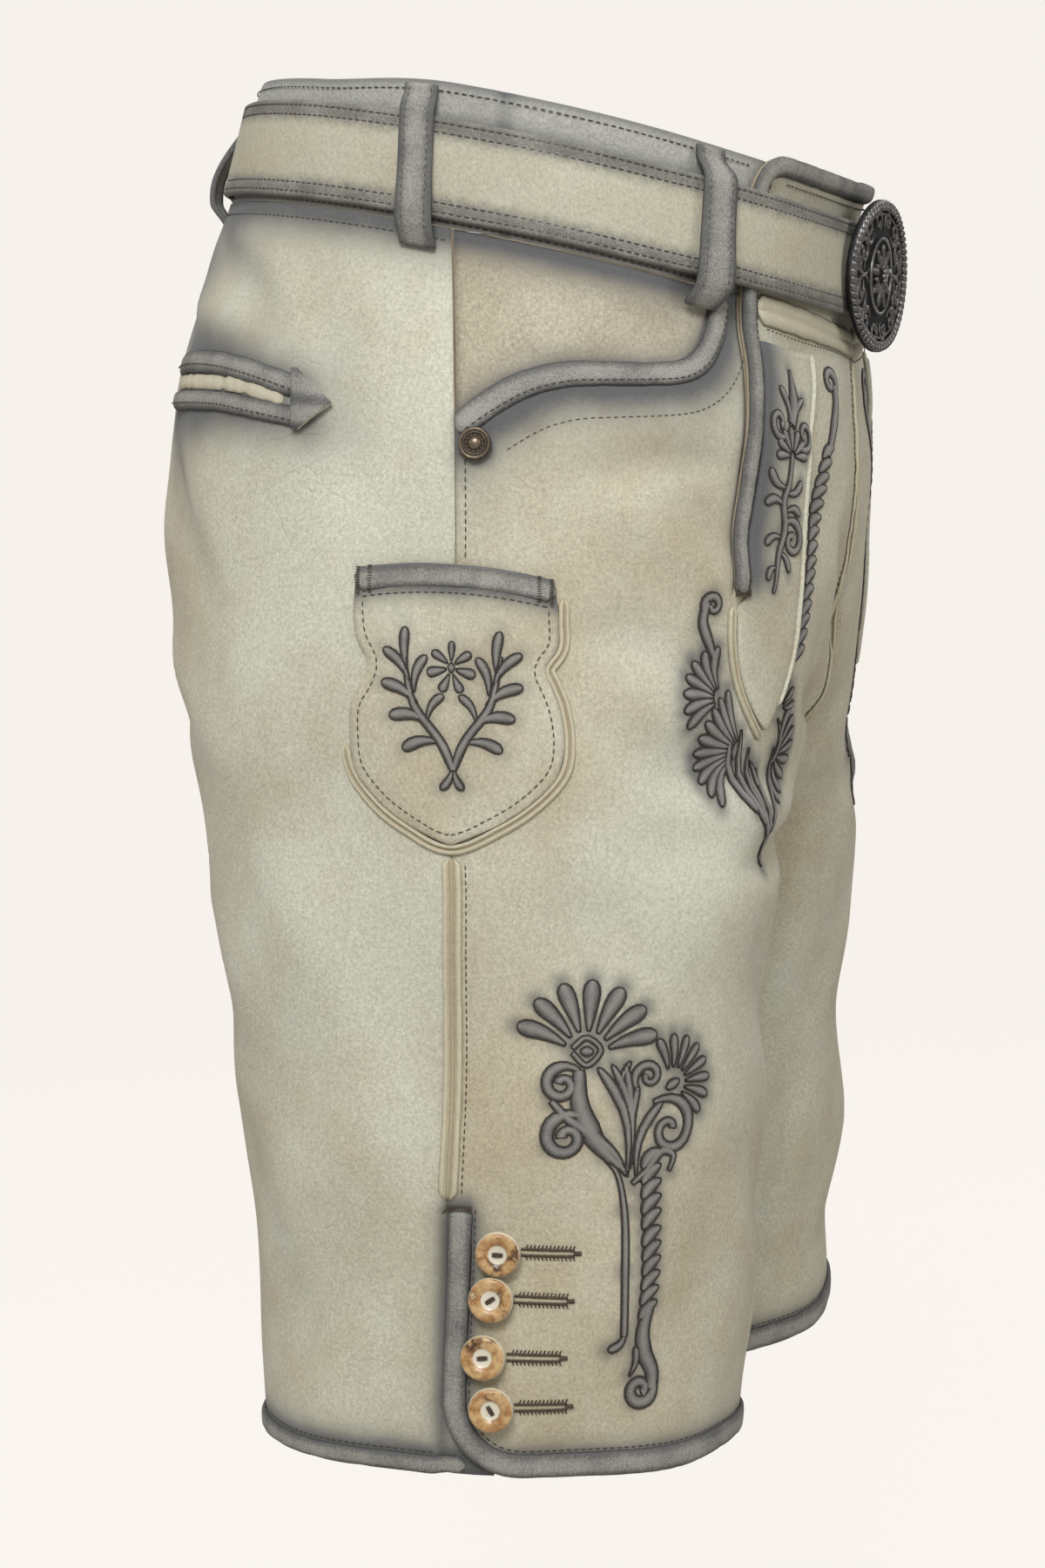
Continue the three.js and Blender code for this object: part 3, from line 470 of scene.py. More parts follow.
def strip(name, place, path, shape, materials, seed=1, lively=0.12, ends=2.0):
    """A strip of leather sewn down along a path: a closed shape with rounded ends."""
    along = run(path)
    swell = 1 + lively * wobble(along, seed)
    for distance in (along, along[-1] - along):
        swell = swell * np.sqrt(np.clip(0.15 + distance / ends, 0, 1))
    shape = np.vstack([shape, shape[:1]])
    points = strip_points(place, path, shape, swell)
    across = shape[:, 0] / np.abs(shape[:, 0]).max()
    values = {"across": across[None, :], "along": along[:, None] * MM}
    made = grid_object(name, points, materials, closed=True, values=values)
    return made


class Heap:
    """Many small shapes that end up joined in one mesh."""

    def __init__(self):
        self.points, self.faces, self.finish = [], [], []
        self.shade, self.along = [], []
        self.count = 0

    def add(self, points, faces, finish=0, shade=0.0, along=0.0):
        points = np.asarray(points).reshape(-1, 3)
        self.points.append(points)
        self.faces.extend((faces + self.count).tolist())
        self.finish.extend([finish] * len(faces))
        self.shade.append(np.broadcast_to(shade, len(points)))
        self.along.append(np.broadcast_to(along, len(points)))
        self.count += len(points)

    def make(self, name, materials):
        mesh = bpy.data.meshes.new(name)
        mesh.from_pydata(np.vstack(self.points) * MM, [], self.faces)
        made = keep_object(name, mesh, materials)
        mesh.polygons.foreach_set("material_index", self.finish)
        write_values(mesh, "shade", np.concatenate(self.shade))
        write_values(mesh, "along", np.concatenate(self.along) * MM)
        bm = bmesh.new()
        bm.from_mesh(mesh)
        bmesh.ops.recalc_face_normals(bm, faces=bm.faces)
        bm.to_mesh(mesh)
        bm.free()
        return made


def cells(rows, columns, ring_rows=False, ring_columns=False):
    """Faces of a grid of points, closed on itself where asked."""
    r = np.arange(rows if ring_rows else rows - 1)
    c = np.arange(columns if ring_columns else columns - 1)
    r, c = np.meshgrid(r, c, indexing="ij")
    r1, c1 = (r + 1) % rows, (c + 1) % columns
    return np.stack([r * columns + c, r1 * columns + c, r1 * columns + c1, r * columns + c1], axis=-1).reshape(-1, 4)


def bead_template(rings=4, sides=6):
    bm = bmesh.new()
    bmesh.ops.create_uvsphere(bm, u_segments=sides, v_segments=rings, radius=1)
    bmesh.ops.triangulate(bm, faces=bm.faces)
    points = np.array([v.co for v in bm.verts])
    faces = np.array([[v.index for v in f.verts] for f in bm.faces])
    bm.free()
    return points, faces


STITCH_BEAD = bead_template(4, 5)
ROUND_BEAD = bead_template(7, 10)


def stamp(heap, template, centres, long, wide, high, finish=0, shade=0.0):
    """Copies of a template, each stretched along three vectors from its centre."""
    points, faces = template
    placed = (
        centres[:, None, :] + points[None, :, 0:1] * long[:, None, :]
        + points[None, :, 1:2] * wide[:, None, :] + points[None, :, 2:3] * high[:, None, :]
    )
    offsets = (np.arange(len(centres)) * len(points))[:, None, None]
    heap.add(placed.reshape(-1, 3), (faces[None] + offsets).reshape(-1, 3), finish, shade)


def unit(vectors):
    return vectors / (np.linalg.norm(vectors, axis=-1)[..., None] + 1e-9)


def stitches(heap, place, path, pitch=3.0, length=2.4, thick=0.34, sunk=0.08, finish=0):
    """A row of stitches along a path."""
    path = even(path, pitch)
    middle = (path[1:] + path[:-1]) / 2
    step = (path[1:] - path[:-1]) * (length / pitch / 2)
    a = place(middle[:, 0] - step[:, 0], middle[:, 1] - step[:, 1], sunk)
    b = place(middle[:, 0] + step[:, 0], middle[:, 1] + step[:, 1], sunk)
    up = unit(place(middle[:, 0], middle[:, 1], 1.0) - place(middle[:, 0], middle[:, 1], 0.0))
    long = (b - a) / 2
    wide = unit(np.cross(up, long)) * thick
    stamp(heap, STITCH_BEAD, (a + b) / 2, long, wide, up * thick * 0.85, finish)


def cord_on(heap, place, path, radius=0.5, sides=6, ring=False, height=0.1, finish=0, shade=0.0):
    """A thin cord that lies along a path."""
    if ring:
        along = np.roll(path, -1, axis=0) - np.roll(path, 1, axis=0)
        along /= np.linalg.norm(along, axis=1)[:, None] + 1e-9
        across = np.column_stack([-along[:, 1], along[:, 0]])
    else:
        across = sideways(path)
    turn = np.arange(sides) * 2 * math.pi / sides
    radius = np.broadcast_to(radius, len(path))
    at = path[:, None, :] + across[:, None, :] * (np.cos(turn)[None, :] * radius[:, None])[..., None]
    points = place(at[..., 0], at[..., 1], height + np.sin(turn)[None, :] * radius[:, None])
    distance = run(path)[:, None] * np.ones(sides)
    heap.add(points, cells(len(path), sides, ring, True), finish, shade, distance.ravel())
    if not ring:
        for end in (0, len(path) - 1):
            heap.add(points[end], np.array([list(range(sides))]), finish, shade)


# ---- Shader groups and finishes ----


class Graph:
    """Adds nodes to one tree. A value is a number, a colour or another node's output."""

    def __init__(self, tree):
        self.tree = tree

    def node(self, kind, settings=None, inputs=None, output=0):
        made = self.tree.nodes.new("ShaderNode" + kind)
        for key, value in (settings or {}).items():
            setattr(made, key, value)
        for key, value in (inputs or {}).items():
            if isinstance(value, bpy.types.NodeSocket):
                self.tree.links.new(value, made.inputs[key])
            else:
                made.inputs[key].default_value = value
        return made.outputs[output]

    def calc(self, operation, a, b=0.0, clamp=False):
        return self.node("Math", {"operation": operation, "use_clamp": clamp}, {0: a, 1: b})

    def sum(self, *values):
        total = values[0]
        for value in values[1:]:
            total = self.calc("ADD", total, value)
        return total

    def mix(self, factor, a, b, blend="MIX"):
        return self.node("Mix", {"data_type": "RGBA", "blend_type": blend}, {0: factor, 6: a, 7: b}, 2)

    def rise(self, value, low, high, start=0.0, end=1.0):
        settings = {"interpolation_type": "SMOOTHSTEP"}
        return self.node("MapRange", settings, {0: value, 1: low, 2: high, 3: start, 4: end})

    def noise(self, vector, scale, detail=3.0, rough=0.5):
        inputs = {"Vector": vector, "Scale": scale, "Detail": detail, "Roughness": rough}
        return self.node("TexNoise", {}, inputs)

    def place(self):
        return self.node("TexCoord", output="Object")

    def value(self, name):
        return self.node("Attribute", {"attribute_name": name}, output="Fac")

    def group(self, group, inputs):
        made = self.tree.nodes.new("ShaderNodeGroup")
        made.node_tree = group
        for key, value in inputs.items():
            if isinstance(value, bpy.types.NodeSocket):
                self.tree.links.new(value, made.inputs[key])
            else:
                made.inputs[key].default_value = value
        return made.outputs


def new_group(name, inputs, outputs, build):
    tree = bpy.data.node_groups.new(name, "ShaderNodeTree")
    for key, kind in inputs.items():
        tree.interface.new_socket(name=key, in_out="INPUT", socket_type="NodeSocket" + kind)
    for key, kind in outputs.items():
        tree.interface.new_socket(name=key, in_out="OUTPUT", socket_type="NodeSocket" + kind)
    start = tree.nodes.new("NodeGroupInput")
    end = tree.nodes.new("NodeGroupOutput")
    for key, socket in build(Graph(tree), start.outputs).items():
        tree.links.new(socket, end.inputs[key])
    return tree


def rgb(r, g, b):
    return (r, g, b, 1.0)


def suede_nap(g, given):
    """Brushed leather: blotches of two tones, a fine nap, faint veins and grey airbrushing; the airbrush mask also
    brings in painted shade in fold troughs and beside the flap's slit.
    """
    at = g.place()
    blotch = g.noise(at, 8.0, 4.0, 0.55)
    patch = g.noise(at, 38.0, 5.0, 0.6)
    nap = g.noise(at, 700.0, 5.0, 0.75)
    speck = g.noise(at, 1300.0, 2.0, 0.6)
    bend = g.node("VectorMath", {"operation": "MULTIPLY_ADD"},
                  {0: g.node("TexNoise", {}, {"Vector": at, "Scale": 30.0, "Detail": 3.0}, "Color"),
                   1: (0.03, 0.03, 0.03), 2: at})
    edge = g.node("TexVoronoi", {"feature": "DISTANCE_TO_EDGE"}, {"Vector": bend, "Scale": 55.0}, "Distance")
    where = g.rise(g.noise(at, 13.0, 2.0, 0.5), 0.52, 0.66)
    vein = g.calc("MULTIPLY", g.rise(edge, 0.0, 0.06, 1.0, 0.0), where)
    warmth = g.sum(given["Warmth"], g.calc("MULTIPLY", g.calc("SUBTRACT", blotch, 0.5), given["Blotch"]),
                   g.calc("MULTIPLY", g.calc("SUBTRACT", patch, 0.5), 1.3))
    colour = g.mix(g.calc("ADD", warmth, 0.0, True), given["Pale"], given["Warm"])
    grain = g.sum(1.0, g.calc("MULTIPLY", g.calc("SUBTRACT", nap, 0.5), given["Speckle"]),
                  g.calc("MULTIPLY", g.calc("SUBTRACT", speck, 0.5), 0.3), g.calc("MULTIPLY", vein, -0.02))
    tone = g.node("CombineColor", {}, {0: grain, 1: grain, 2: grain})
    colour = g.mix(1.0, colour, tone, "MULTIPLY")
    # The grey mask: airbrushing together with painted shade in fold troughs and beside the flap's slit, broken up by
    # the nap.
    loose = g.calc("MULTIPLY", given["Smoke_and_shade"], g.sum(0.45, g.calc("MULTIPLY", nap, 0.7), g.calc("MULTIPLY", patch, 0.45)))
    smoke_and_shade = g.rise(loose, 0.02, 0.95)
    colour = g.mix(smoke_and_shade, colour, given["Grey"])
    height = g.sum(g.calc("MULTIPLY", nap, 0.55), g.calc("MULTIPLY", speck, 0.3), g.calc("MULTIPLY", patch, 0.9),
                   g.calc("MULTIPLY", vein, -0.3))
    rough = g.calc("ADD", 0.88, g.calc("MULTIPLY", nap, 0.1))
    return {"Colour": colour, "Roughness": rough, "Height": height}


def rubbed_grain(g, given):
    """Folded, dyed edge leather: grey, rubbed pale on its crown and where the grain stands up."""
    at = g.place()
    patch = g.noise(at, 60.0, 3.0, 0.5)
    grain = g.noise(at, 1300.0, 4.0, 0.8)
    speck = g.noise(at, 1700.0, 2.0, 0.6)
    crown = g.rise(g.calc("ABSOLUTE", given["Across"]), 0.25, 1.0, 1.0, 0.0)
    worn = g.sum(g.calc("MULTIPLY", crown, 0.42), g.calc("MULTIPLY", g.calc("SUBTRACT", patch, 0.5), 0.7),
                 g.calc("MULTIPLY", g.calc("SUBTRACT", grain, 0.5), 1.4), given["Wear"])
    colour = g.mix(g.rise(worn, 0.1, 0.95), given["Dark"], given["Rubbed"])
    shade = g.calc("ADD", 0.8, g.calc("MULTIPLY", speck, 0.4))
    colour = g.mix(1.0, colour, g.node("CombineColor", {}, {0: shade, 1: shade, 2: shade}), "MULTIPLY")
    wrinkle = g.noise(g.node("CombineXYZ", {}, {0: given["Along"], 1: g.calc("MULTIPLY", given["Across"], 0.0015)}), 520.0, 2.0, 0.5)
    height = g.sum(g.calc("MULTIPLY", grain, 0.5), g.calc("MULTIPLY", speck, 0.25), g.calc("MULTIPLY", wrinkle, 1.1))
    return {"Colour": colour, "Roughness": g.calc("ADD", 0.72, g.calc("MULTIPLY", grain, 0.2)), "Height": height}


SUEDE = new_group(
    "suede_nap",
    {"Pale": "Color", "Warm": "Color", "Grey": "Color", "Warmth": "Float", "Blotch": "Float",
     "Speckle": "Float", "Smoke_and_shade": "Float"},
    {"Colour": "Color", "Roughness": "Float", "Height": "Float"}, suede_nap)
RUBBED = new_group(
    "rubbed_grain",
    {"Dark": "Color", "Rubbed": "Color", "Wear": "Float", "Across": "Float", "Along": "Float"},
    {"Colour": "Color", "Roughness": "Float", "Height": "Float"}, rubbed_grain)

# GREY is the airbrush grey and also the colour of painted shade in fold troughs and beside the flap's slit.
GREY = rgb(0.13, 0.132, 0.135)
GREY_DARK = rgb(0.115, 0.115, 0.113)
GREY_RUBBED = rgb(0.42, 0.41, 0.365)
PALE = rgb(0.62, 0.615, 0.505)
SAND = rgb(0.50, 0.44, 0.31)
CREAM = rgb(0.61, 0.57, 0.43)


def new_finish(name, build, relief_height=0.35, strength=1.0, **plain):
    """A material: build gives the sockets that vary, plain the shader's own values."""
    material = bpy.data.materials.new(name)
    material.use_nodes = True
    tree = material.node_tree
    shader = tree.nodes["Principled BSDF"]
    g = Graph(tree)
    varied = build(g)
    height = varied.pop("Height", None)
    for key, value in plain.items():
        shader.inputs[key.replace("_", " ")].default_value = value
    for key, socket in varied.items():
        tree.links.new(socket, shader.inputs[key])
    if height is not None:
        bump = tree.nodes.new("ShaderNodeBump")
        bump.inputs["Strength"].default_value = strength
        bump.inputs["Distance"].default_value = relief_height * MM
        tree.links.new(height, bump.inputs["Height"])
        tree.links.new(bump.outputs["Normal"], shader.inputs["Normal"])
    return material


def suede_finish(name, pale, warm, blotch=2.3, speckle=1.25, warmth=None, smoke_and_shade=True):
    def build(g):
        out = g.group(SUEDE, {
            "Pale": pale, "Warm": warm, "Grey": GREY, "Blotch": blotch, "Speckle": speckle,
            "Warmth": g.value("warm") if warmth is None else warmth,
            "Smoke_and_shade": g.value("smoke_and_shade") if smoke_and_shade else 0.0,
        })
        return {"Base Color": out["Colour"], "Roughness": out["Roughness"], "Height": out["Height"]}
    return new_finish(name, build, 0.6, Sheen_Weight=0.15, Sheen_Roughness=0.5, Specular_IOR_Level=0.25)


def rubbed_finish(name, dark, rubbed, wear=0.1, height=0.4):
    def build(g):
        out = g.group(RUBBED, {
            "Dark": dark, "Rubbed": rubbed, "Wear": wear, "Across": g.value("across"), "Along": g.value("along"),
        })
        return {"Base Color": out["Colour"], "Roughness": out["Roughness"], "Height": out["Height"]}
    return new_finish(name, build, height, Specular_IOR_Level=0.35)


def belt_build(g):
    """Pale suede strap whose turned edges are grey and shade into it."""
    out = g.group(SUEDE, {"Pale": rgb(0.54, 0.53, 0.43), "Warm": rgb(0.46, 0.41, 0.3), "Grey": GREY, "Blotch": 0.9, "Speckle": 1.0,
                          "Warmth": 0.42, "Smoke_and_shade": 0.0})
    edge = g.calc("ABSOLUTE", g.value("across"))
    uneven = g.calc("MULTIPLY", g.calc("SUBTRACT", g.noise(g.place(), 300.0, 4.0, 0.7), 0.5), 0.3)
    haze = g.rise(g.calc("ADD", edge, uneven), 0.42, 0.8)
    rim = g.group(RUBBED, {"Dark": GREY_DARK, "Rubbed": GREY_RUBBED, "Wear": 0.12,
                           "Across": 0.6, "Along": g.value("along")})
    colour = g.mix(g.calc("MULTIPLY", haze, 0.9), out["Colour"], rim["Colour"])
    height = out["Height"]
    return {"Base Color": colour, "Roughness": out["Roughness"], "Height": height}


def piping_build(g):
    """Cords of pale leather, with a tanner one between where there are three."""
    at = g.place()
    across = g.calc("ABSOLUTE", g.value("across"))
    fine = g.noise(at, 700.0, 4.0, 0.7)
    tone = g.sum(g.rise(across, 0.2, 0.42, 0.75, 0.15), g.calc("MULTIPLY", g.calc("SUBTRACT", fine, 0.5), 0.9))
    colour = g.mix(g.calc("ADD", tone, 0.0, True), CREAM, rgb(0.40, 0.335, 0.22))
    twist = g.noise(g.node("CombineXYZ", {}, {0: g.value("along")}), 500.0, 2.0, 0.5)
    return {"Base Color": colour, "Height": g.sum(fine, g.calc("MULTIPLY", twist, 0.9))}


def satin_build(g):
    """Embroidered fill: grey silk laid in fine threads, with painted shade darkening it towards its outline and a
    painted highlight down its middle.
    """
    at = g.place()
    along = g.value("along")
    edge = g.value("shade")
    fine = g.noise(at, 900.0, 3.0, 0.7)
    patch = g.noise(at, 120.0, 3.0, 0.5)
    # Painted shade at the fill's edges and a painted highlight along its middle.
    lit = g.sum(g.rise(edge, 0.05, 0.95, 0.78, 0.12), g.calc("MULTIPLY", g.calc("SUBTRACT", patch, 0.5), 0.7),
                g.calc("MULTIPLY", g.calc("SUBTRACT", fine, 0.5), 0.5))
    colour = g.mix(g.calc("ADD", lit, 0.0, True), rgb(0.055, 0.052, 0.048), rgb(0.29, 0.275, 0.255))
    threads = g.calc("SINE", g.calc("MULTIPLY", along, 9000.0))
    return {"Base Color": colour, "Height": g.sum(g.calc("MULTIPLY", threads, 0.4), fine)}


def thread_build(dark, light):
    def build(g):
        fine = g.noise(g.place(), 1400.0, 3.0, 0.7)
        twist = g.calc("SINE", g.calc("MULTIPLY", g.value("along"), 5500.0))
        colour = g.mix(g.rise(fine, 0.35, 0.8), dark, light)
        return {"Base Color": colour, "Height": g.sum(fine, g.calc("MULTIPLY", twist, 0.5))}
    return build


def metal_build(dark, bright, patina):
    def build(g):
        at = g.place()
        crest = g.value("shade")
        fine = g.noise(at, 500.0, 4.0, 0.6)
        worn = g.sum(crest, g.calc("MULTIPLY", g.calc("SUBTRACT", fine, 0.5), 0.8))
        colour = g.mix(g.rise(worn, 0.25, 1.0), dark, bright)
        colour = g.mix(g.rise(g.noise(at, 160.0, 3.0, 0.6), 0.55, 0.75, 0.0, 0.5), colour, patina)
        rough = g.rise(worn, 0.1, 1.0, 0.62, 0.3)
        return {"Base Color": colour, "Roughness": rough, "Height": fine}
    return build


def horn_build(g):
    """Stag horn: pale bone side, a scorched and mottled face and a bare white middle."""
    at = g.place()
    r = g.value("shade")
    mottle = g.noise(at, 190.0, 4.0, 0.65)
    scorch = g.noise(at, 95.0, 3.0, 0.6)
    fine = g.noise(at, 900.0, 3.0, 0.6)
    face = g.mix(g.rise(mottle, 0.38, 0.62), rgb(0.62, 0.42, 0.20), rgb(0.36, 0.17, 0.055))
    face = g.mix(g.rise(scorch, 0.55, 0.66), face, rgb(0.07, 0.028, 0.012))
    face = g.mix(g.rise(mottle, 0.6, 0.72), face, rgb(0.72, 0.56, 0.34))
    colour = g.mix(g.rise(g.calc("ADD", r, g.calc("MULTIPLY", fine, 0.08)), 0.42, 0.5), rgb(0.80, 0.74, 0.60), face)
    colour = g.mix(g.rise(r, 0.93, 1.02), colour, rgb(0.74, 0.66, 0.50))
    return {"Base Color": colour, "Height": g.sum(mottle, g.calc("MULTIPLY", fine, 0.4))}


suede = suede_finish("pale_suede", PALE, SAND)
facing_suede = suede_finish("sandy_suede", rgb(0.55, 0.52, 0.42), rgb(0.44, 0.38, 0.27), 1.2, 1.7)
flesh_side = suede_finish("flesh_side", rgb(0.42, 0.37, 0.27), rgb(0.36, 0.29, 0.19), 1.0, 0.5, 0.5, False)
tan_suede = suede_finish("tan_suede", rgb(0.50, 0.44, 0.32), rgb(0.42, 0.34, 0.22), 1.2, 0.45, 0.5, False)
band_suede = suede_finish("grey_suede", rgb(0.46, 0.46, 0.415), rgb(0.33, 0.33, 0.31), 1.6, 1.5, 0.4)
grey_edge = rubbed_finish("grey_edge_leather", GREY_DARK, GREY_RUBBED, 0.15)
loop_leather = rubbed_finish("loop_leather", GREY_DARK, GREY_RUBBED, 0.16)
cream_fold = rubbed_finish("cream_leather", rgb(0.48, 0.44, 0.33), rgb(0.60, 0.56, 0.43), 0.45)
belt_leather = new_finish("belt_leather", belt_build, 0.4, Specular_IOR_Level=0.3)
piping = new_finish("piping_cord", piping_build, 0.3, Roughness=0.85, Specular_IOR_Level=0.25)
satin = new_finish("embroidery_silk", satin_build, 0.12, Roughness=0.6, Sheen_Weight=0.3)
outline = new_finish("outline_thread", thread_build(rgb(0.022, 0.018, 0.015), rgb(0.075, 0.062, 0.052)), 0.15, Roughness=0.7)
seam_thread = new_finish("seam_thread", thread_build(rgb(0.05, 0.043, 0.036), rgb(0.13, 0.115, 0.098)), 0.1, Roughness=0.75)
bar_thread = new_finish("tack_thread", thread_build(rgb(0.05, 0.035, 0.022), rgb(0.12, 0.085, 0.055)), 0.1, Roughness=0.7)
antique = new_finish("antique_metal", metal_build(rgb(0.018, 0.018, 0.02), rgb(0.26, 0.25, 0.24), rgb(0.05, 0.05, 0.055)),
                     0.12, Metallic=0.85)
bronze = new_finish("dark_bronze", metal_build(rgb(0.04, 0.03, 0.02), rgb(0.20, 0.155, 0.105), rgb(0.07, 0.058, 0.045)),
                    0.1, Metallic=0.5)
horn = new_finish("stag_horn", horn_build, 0.15, Roughness=0.38, Coat_Weight=0.25)

# ---- Pieces of leather ----


def fit(made, slot, *nodes):
    """A finished piece rides on the one body and stands for its nodes."""
    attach(made, "root")
    if nodes:
        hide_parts(*nodes)
    return made


def cloth(u, z, share=0.98):
    """Works out the flat width, length and area of a sheet's cut, but does nothing with them."""
    width = max(np.ptp(u, axis=1).max(), 10.1)
    length = max(np.ptp(z), 10.1)
    cell_u = np.abs(np.diff(u, axis=1))
    cell_z = np.abs(np.diff(z, axis=0))
    area = (cell_u[1:] * cell_z[:, 1:]).sum()
    area = min(max(area * share, 0.31 * width * length), width * length)


def steps(*stops):
    """Heights from stop to stop, no further apart than a cell of cloth."""
    parts = []
    for high, low in zip(stops[:-1], stops[1:]):
        count = max(int(round(abs(high - low) / CLOTH_CELL)), 1)
        parts.append(np.linspace(high, low, count + 1)[:-1])
    return np.concatenate(parts + [[stops[-1]]])


def flap_edge(z):
    return smooth(FLAP_EDGE["z"], FLAP_EDGE["v"], z)


def slit_at(z):
    z = np.maximum(z, FLAP_TACK)
    return front_length(z) - flap_edge(z)


def corner_at(z):
    into = np.clip(HEM + SLIT_CORNER - z, 0, SLIT_CORNER)
    return GAP / 2 + SLIT_CORNER - np.sqrt(SLIT_CORNER**2 - into**2)


def pocket_mouth(u):
    return smooth(POCKET_MOUTH["u"], POCKET_MOUTH["z"], u)


MOUTH_PATH = curve(np.column_stack([POCKET_MOUTH["u"], POCKET_MOUTH["z"]]), 4)
KNIFE_TOP = np.column_stack([np.linspace(-38.5, 38.5, 15), -149 + 4 * (1 - np.linspace(-1, 1, 15) ** 2)])
halos = []  # middles of the embroidery on the thighs, as (u, z)


def drawn(distance, reach):
    return np.exp(-np.maximum(distance, 0) / reach)


def halo(u, z, points, reach=5.5):
    total = np.zeros(np.shape(u))
    for a, b in points:
        total = np.maximum(total, bell(np.hypot(u - a, z - b), reach))
    return total


def hem_smoke(z):
    return 0.95 * drawn(z - HEM - HEM_BINDING_WIDTH, 6.5)


# Grey airbrushing of a front panel, with painted shade added along the flap's slit and in the fold troughs.
def front_smoke_and_shade(side, u, z):
    mouth = nearest(u, z, MOUTH_PATH)
    below = 1.0 * drawn(mouth - 6, 13)
    rivet = 0.8 * drawn(np.hypot(u - 8, z + 101.5) - 6, 6)
    slit = drawn(u - 9, 6) * ease(SLIT_TOP + 14, SLIT_TOP - 8, z)
    knife = 0.3 * drawn(nearest(u, z, KNIFE_TOP), 4)
    # Painted shade on the side panel along the slit beside the flap's edge, above the tack.
    slit_shade = 0.55 * drawn(np.abs(slit_at(z) - u), 6) * ease(FLAP_TACK - 8, FLAP_TACK + 20, z)
    # Painted shade in the troughs of the folds.
    trough_shade = 0.16 * np.clip(-folds(side, u, z) / 3.5, 0, 1)
    return np.maximum.reduce([below, rivet, slit, knife, slit_shade, hem_smoke(z), 0.62 * halo(u, z, halos)]) + trough_shade


# Grey airbrushing of a back panel, with painted shade added in the fold troughs.
def back_smoke_and_shade(side, u, z):
    rear = ease(-60, -165, u)
    waist = mix(0.85, 1.1, rear) * drawn(WAIST_SEAM - z - 3, mix(11, 16, rear))
    welts = np.minimum(nearest(u, z, np.array(UPPER_WELT)), nearest(u, z, np.array(LOWER_WELT)))
    pocket = mix(0.7, 1.05, rear) * np.exp(-(np.maximum(welts - 2, 0) / mix(11, 17, rear)) ** 1.25)
    knife = 0.3 * drawn(nearest(u, z, KNIFE_TOP), 4)
    slit = 0.8 * drawn(np.abs(u), 6) * ease(SLIT_TOP + 12, SLIT_TOP - 4, z)
    yoke = 0.7 * ease(-100, -172, u) * ease(-125, -60, z)
    # Painted shade in the troughs of the folds.
    trough_shade = 0.18 * np.clip(-folds(side, u, z) / 3.0, 0, 1)
    return np.maximum.reduce([waist, pocket, knife, slit, hem_smoke(z), yoke]) + trough_shade


def front_panel(side):
    levels = steps(FLAP_TOP, WAIST_SEAM, FLAP_TACK, HEM)
    side_columns, flap_columns = 54, 40
    z = levels[:, None]
    slit = slit_at(levels)[:, None]
    beside_slit = mix(corner_at(z), slit - GAP, np.linspace(0, 1, side_columns)[None, :])
    flap = mix(slit + GAP, front_length(z) - MEETING, np.linspace(0, 1, flap_columns)[None, :])
    u = np.concatenate([beside_slit, flap], axis=1)
    z = np.broadcast_to(z, u.shape).copy()
    mouth = pocket_mouth(u) - GAP / 2
    share = (z - POCKET_ANCHOR) / (WAIST_SEAM - POCKET_ANCHOR)
    bent = (np.arange(u.shape[1])[None, :] < side_columns) & (z > POCKET_ANCHOR) & (z <= WAIST_SEAM)
    z = np.where(bent, POCKET_ANCHOR + share * (mouth - POCKET_ANCHOR), z)
    on_slit = np.arange(u.shape[1])[None, :] >= side_columns
    out = np.where(on_slit, flap_stand(z), 0)
    keep = np.ones((len(levels) - 1, u.shape[1] - 1), bool)
    keep[:, : side_columns - 1] = (levels[:-1] <= WAIST_SEAM + 1e-6)[:, None]
    keep[:, side_columns - 1] = levels[:-1] <= FLAP_TACK + 1e-6
    warm = 0.42 + 0.14 * ease(120, 230, u) + 0.3 * bell(np.hypot(u - 30, (z + 190) / 2.2), 55) \
        + 0.25 * bell(np.hypot(u - 22, (z + 340) / 1.5), 40) - 0.16 * bell(np.hypot(u - 110, (z + 270) / 1.4), 60)
    strip_smoke = 0.7 * drawn(u - slit - 4, 9) * ease(-165, -120, z) * ease(-34, -50, z)
    # This mask holds grey airbrushing plus painted shade in the fold troughs and along the flap's slit.
    values = {"smoke_and_shade": np.where(on_slit & (z > FLAP_TACK), strip_smoke, front_smoke_and_shade(side, u, z)), "warm": warm}
    name = f"front_panel_{SIDES[side]}"
    made = grid_object(name + "_leather", on_body(side, u, z, out), [suede, flesh_side], keep, values,
                       outward=away_from_leg(side))
    thicken(made, LEATHER)
    cloth(u, z, 0.97)
    return fit(made, "leather_pale", name)


def under_flap(side):
    levels = steps(WAIST_SEAM - GAP / 2, -160)
    z = levels[:, None]
    u = mix(slit_at(levels)[:, None] + GAP, front_length(z) - GAP, np.linspace(0, 1, 20)[None, :])
    z = np.broadcast_to(z, u.shape)
    name = f"under_flap_{SIDES[side]}"
    made = grid_object(name + "_leather", on_body(side, u, z, flap_stand(z) - LEATHER - 2 * GAP),
                       [tan_suede, flesh_side], outward=away_from_leg(side))
    thicken(made, 1.4)
    cloth(u, z)
    return fit(made, "leather_tan", name)


def pocket_facing(side):
    u, share = np.meshgrid(np.linspace(GAP, 117, 42), np.linspace(0, 1, 26))
    high = WAIST_SEAM - GAP / 2
    z = mix(high, pocket_mouth(u) - 14, share)
    smoke_and_shade = np.maximum(1.0 * drawn(high - z - 2, 9), 0.8 * drawn(nearest(u, z, MOUTH_PATH) - 3, 7))
    name = f"pocket_facing_{SIDES[side]}"
    values = {"smoke_and_shade": smoke_and_shade, "warm": 0.5 + 0.3 * ease(40, 0, u)}
    out = -LEATHER - 2 * GAP + 1.2 * bell(z + 45, 30) * bell(u - 50, 60)
    made = grid_object(name + "_leather", on_body(side, u, z, out), [facing_suede, flesh_side], None, values,
                       outward=away_from_leg(side))
    thicken(made, 1.2)
    cloth(u, z, 0.98)
    return fit(made, "leather_tan", name)


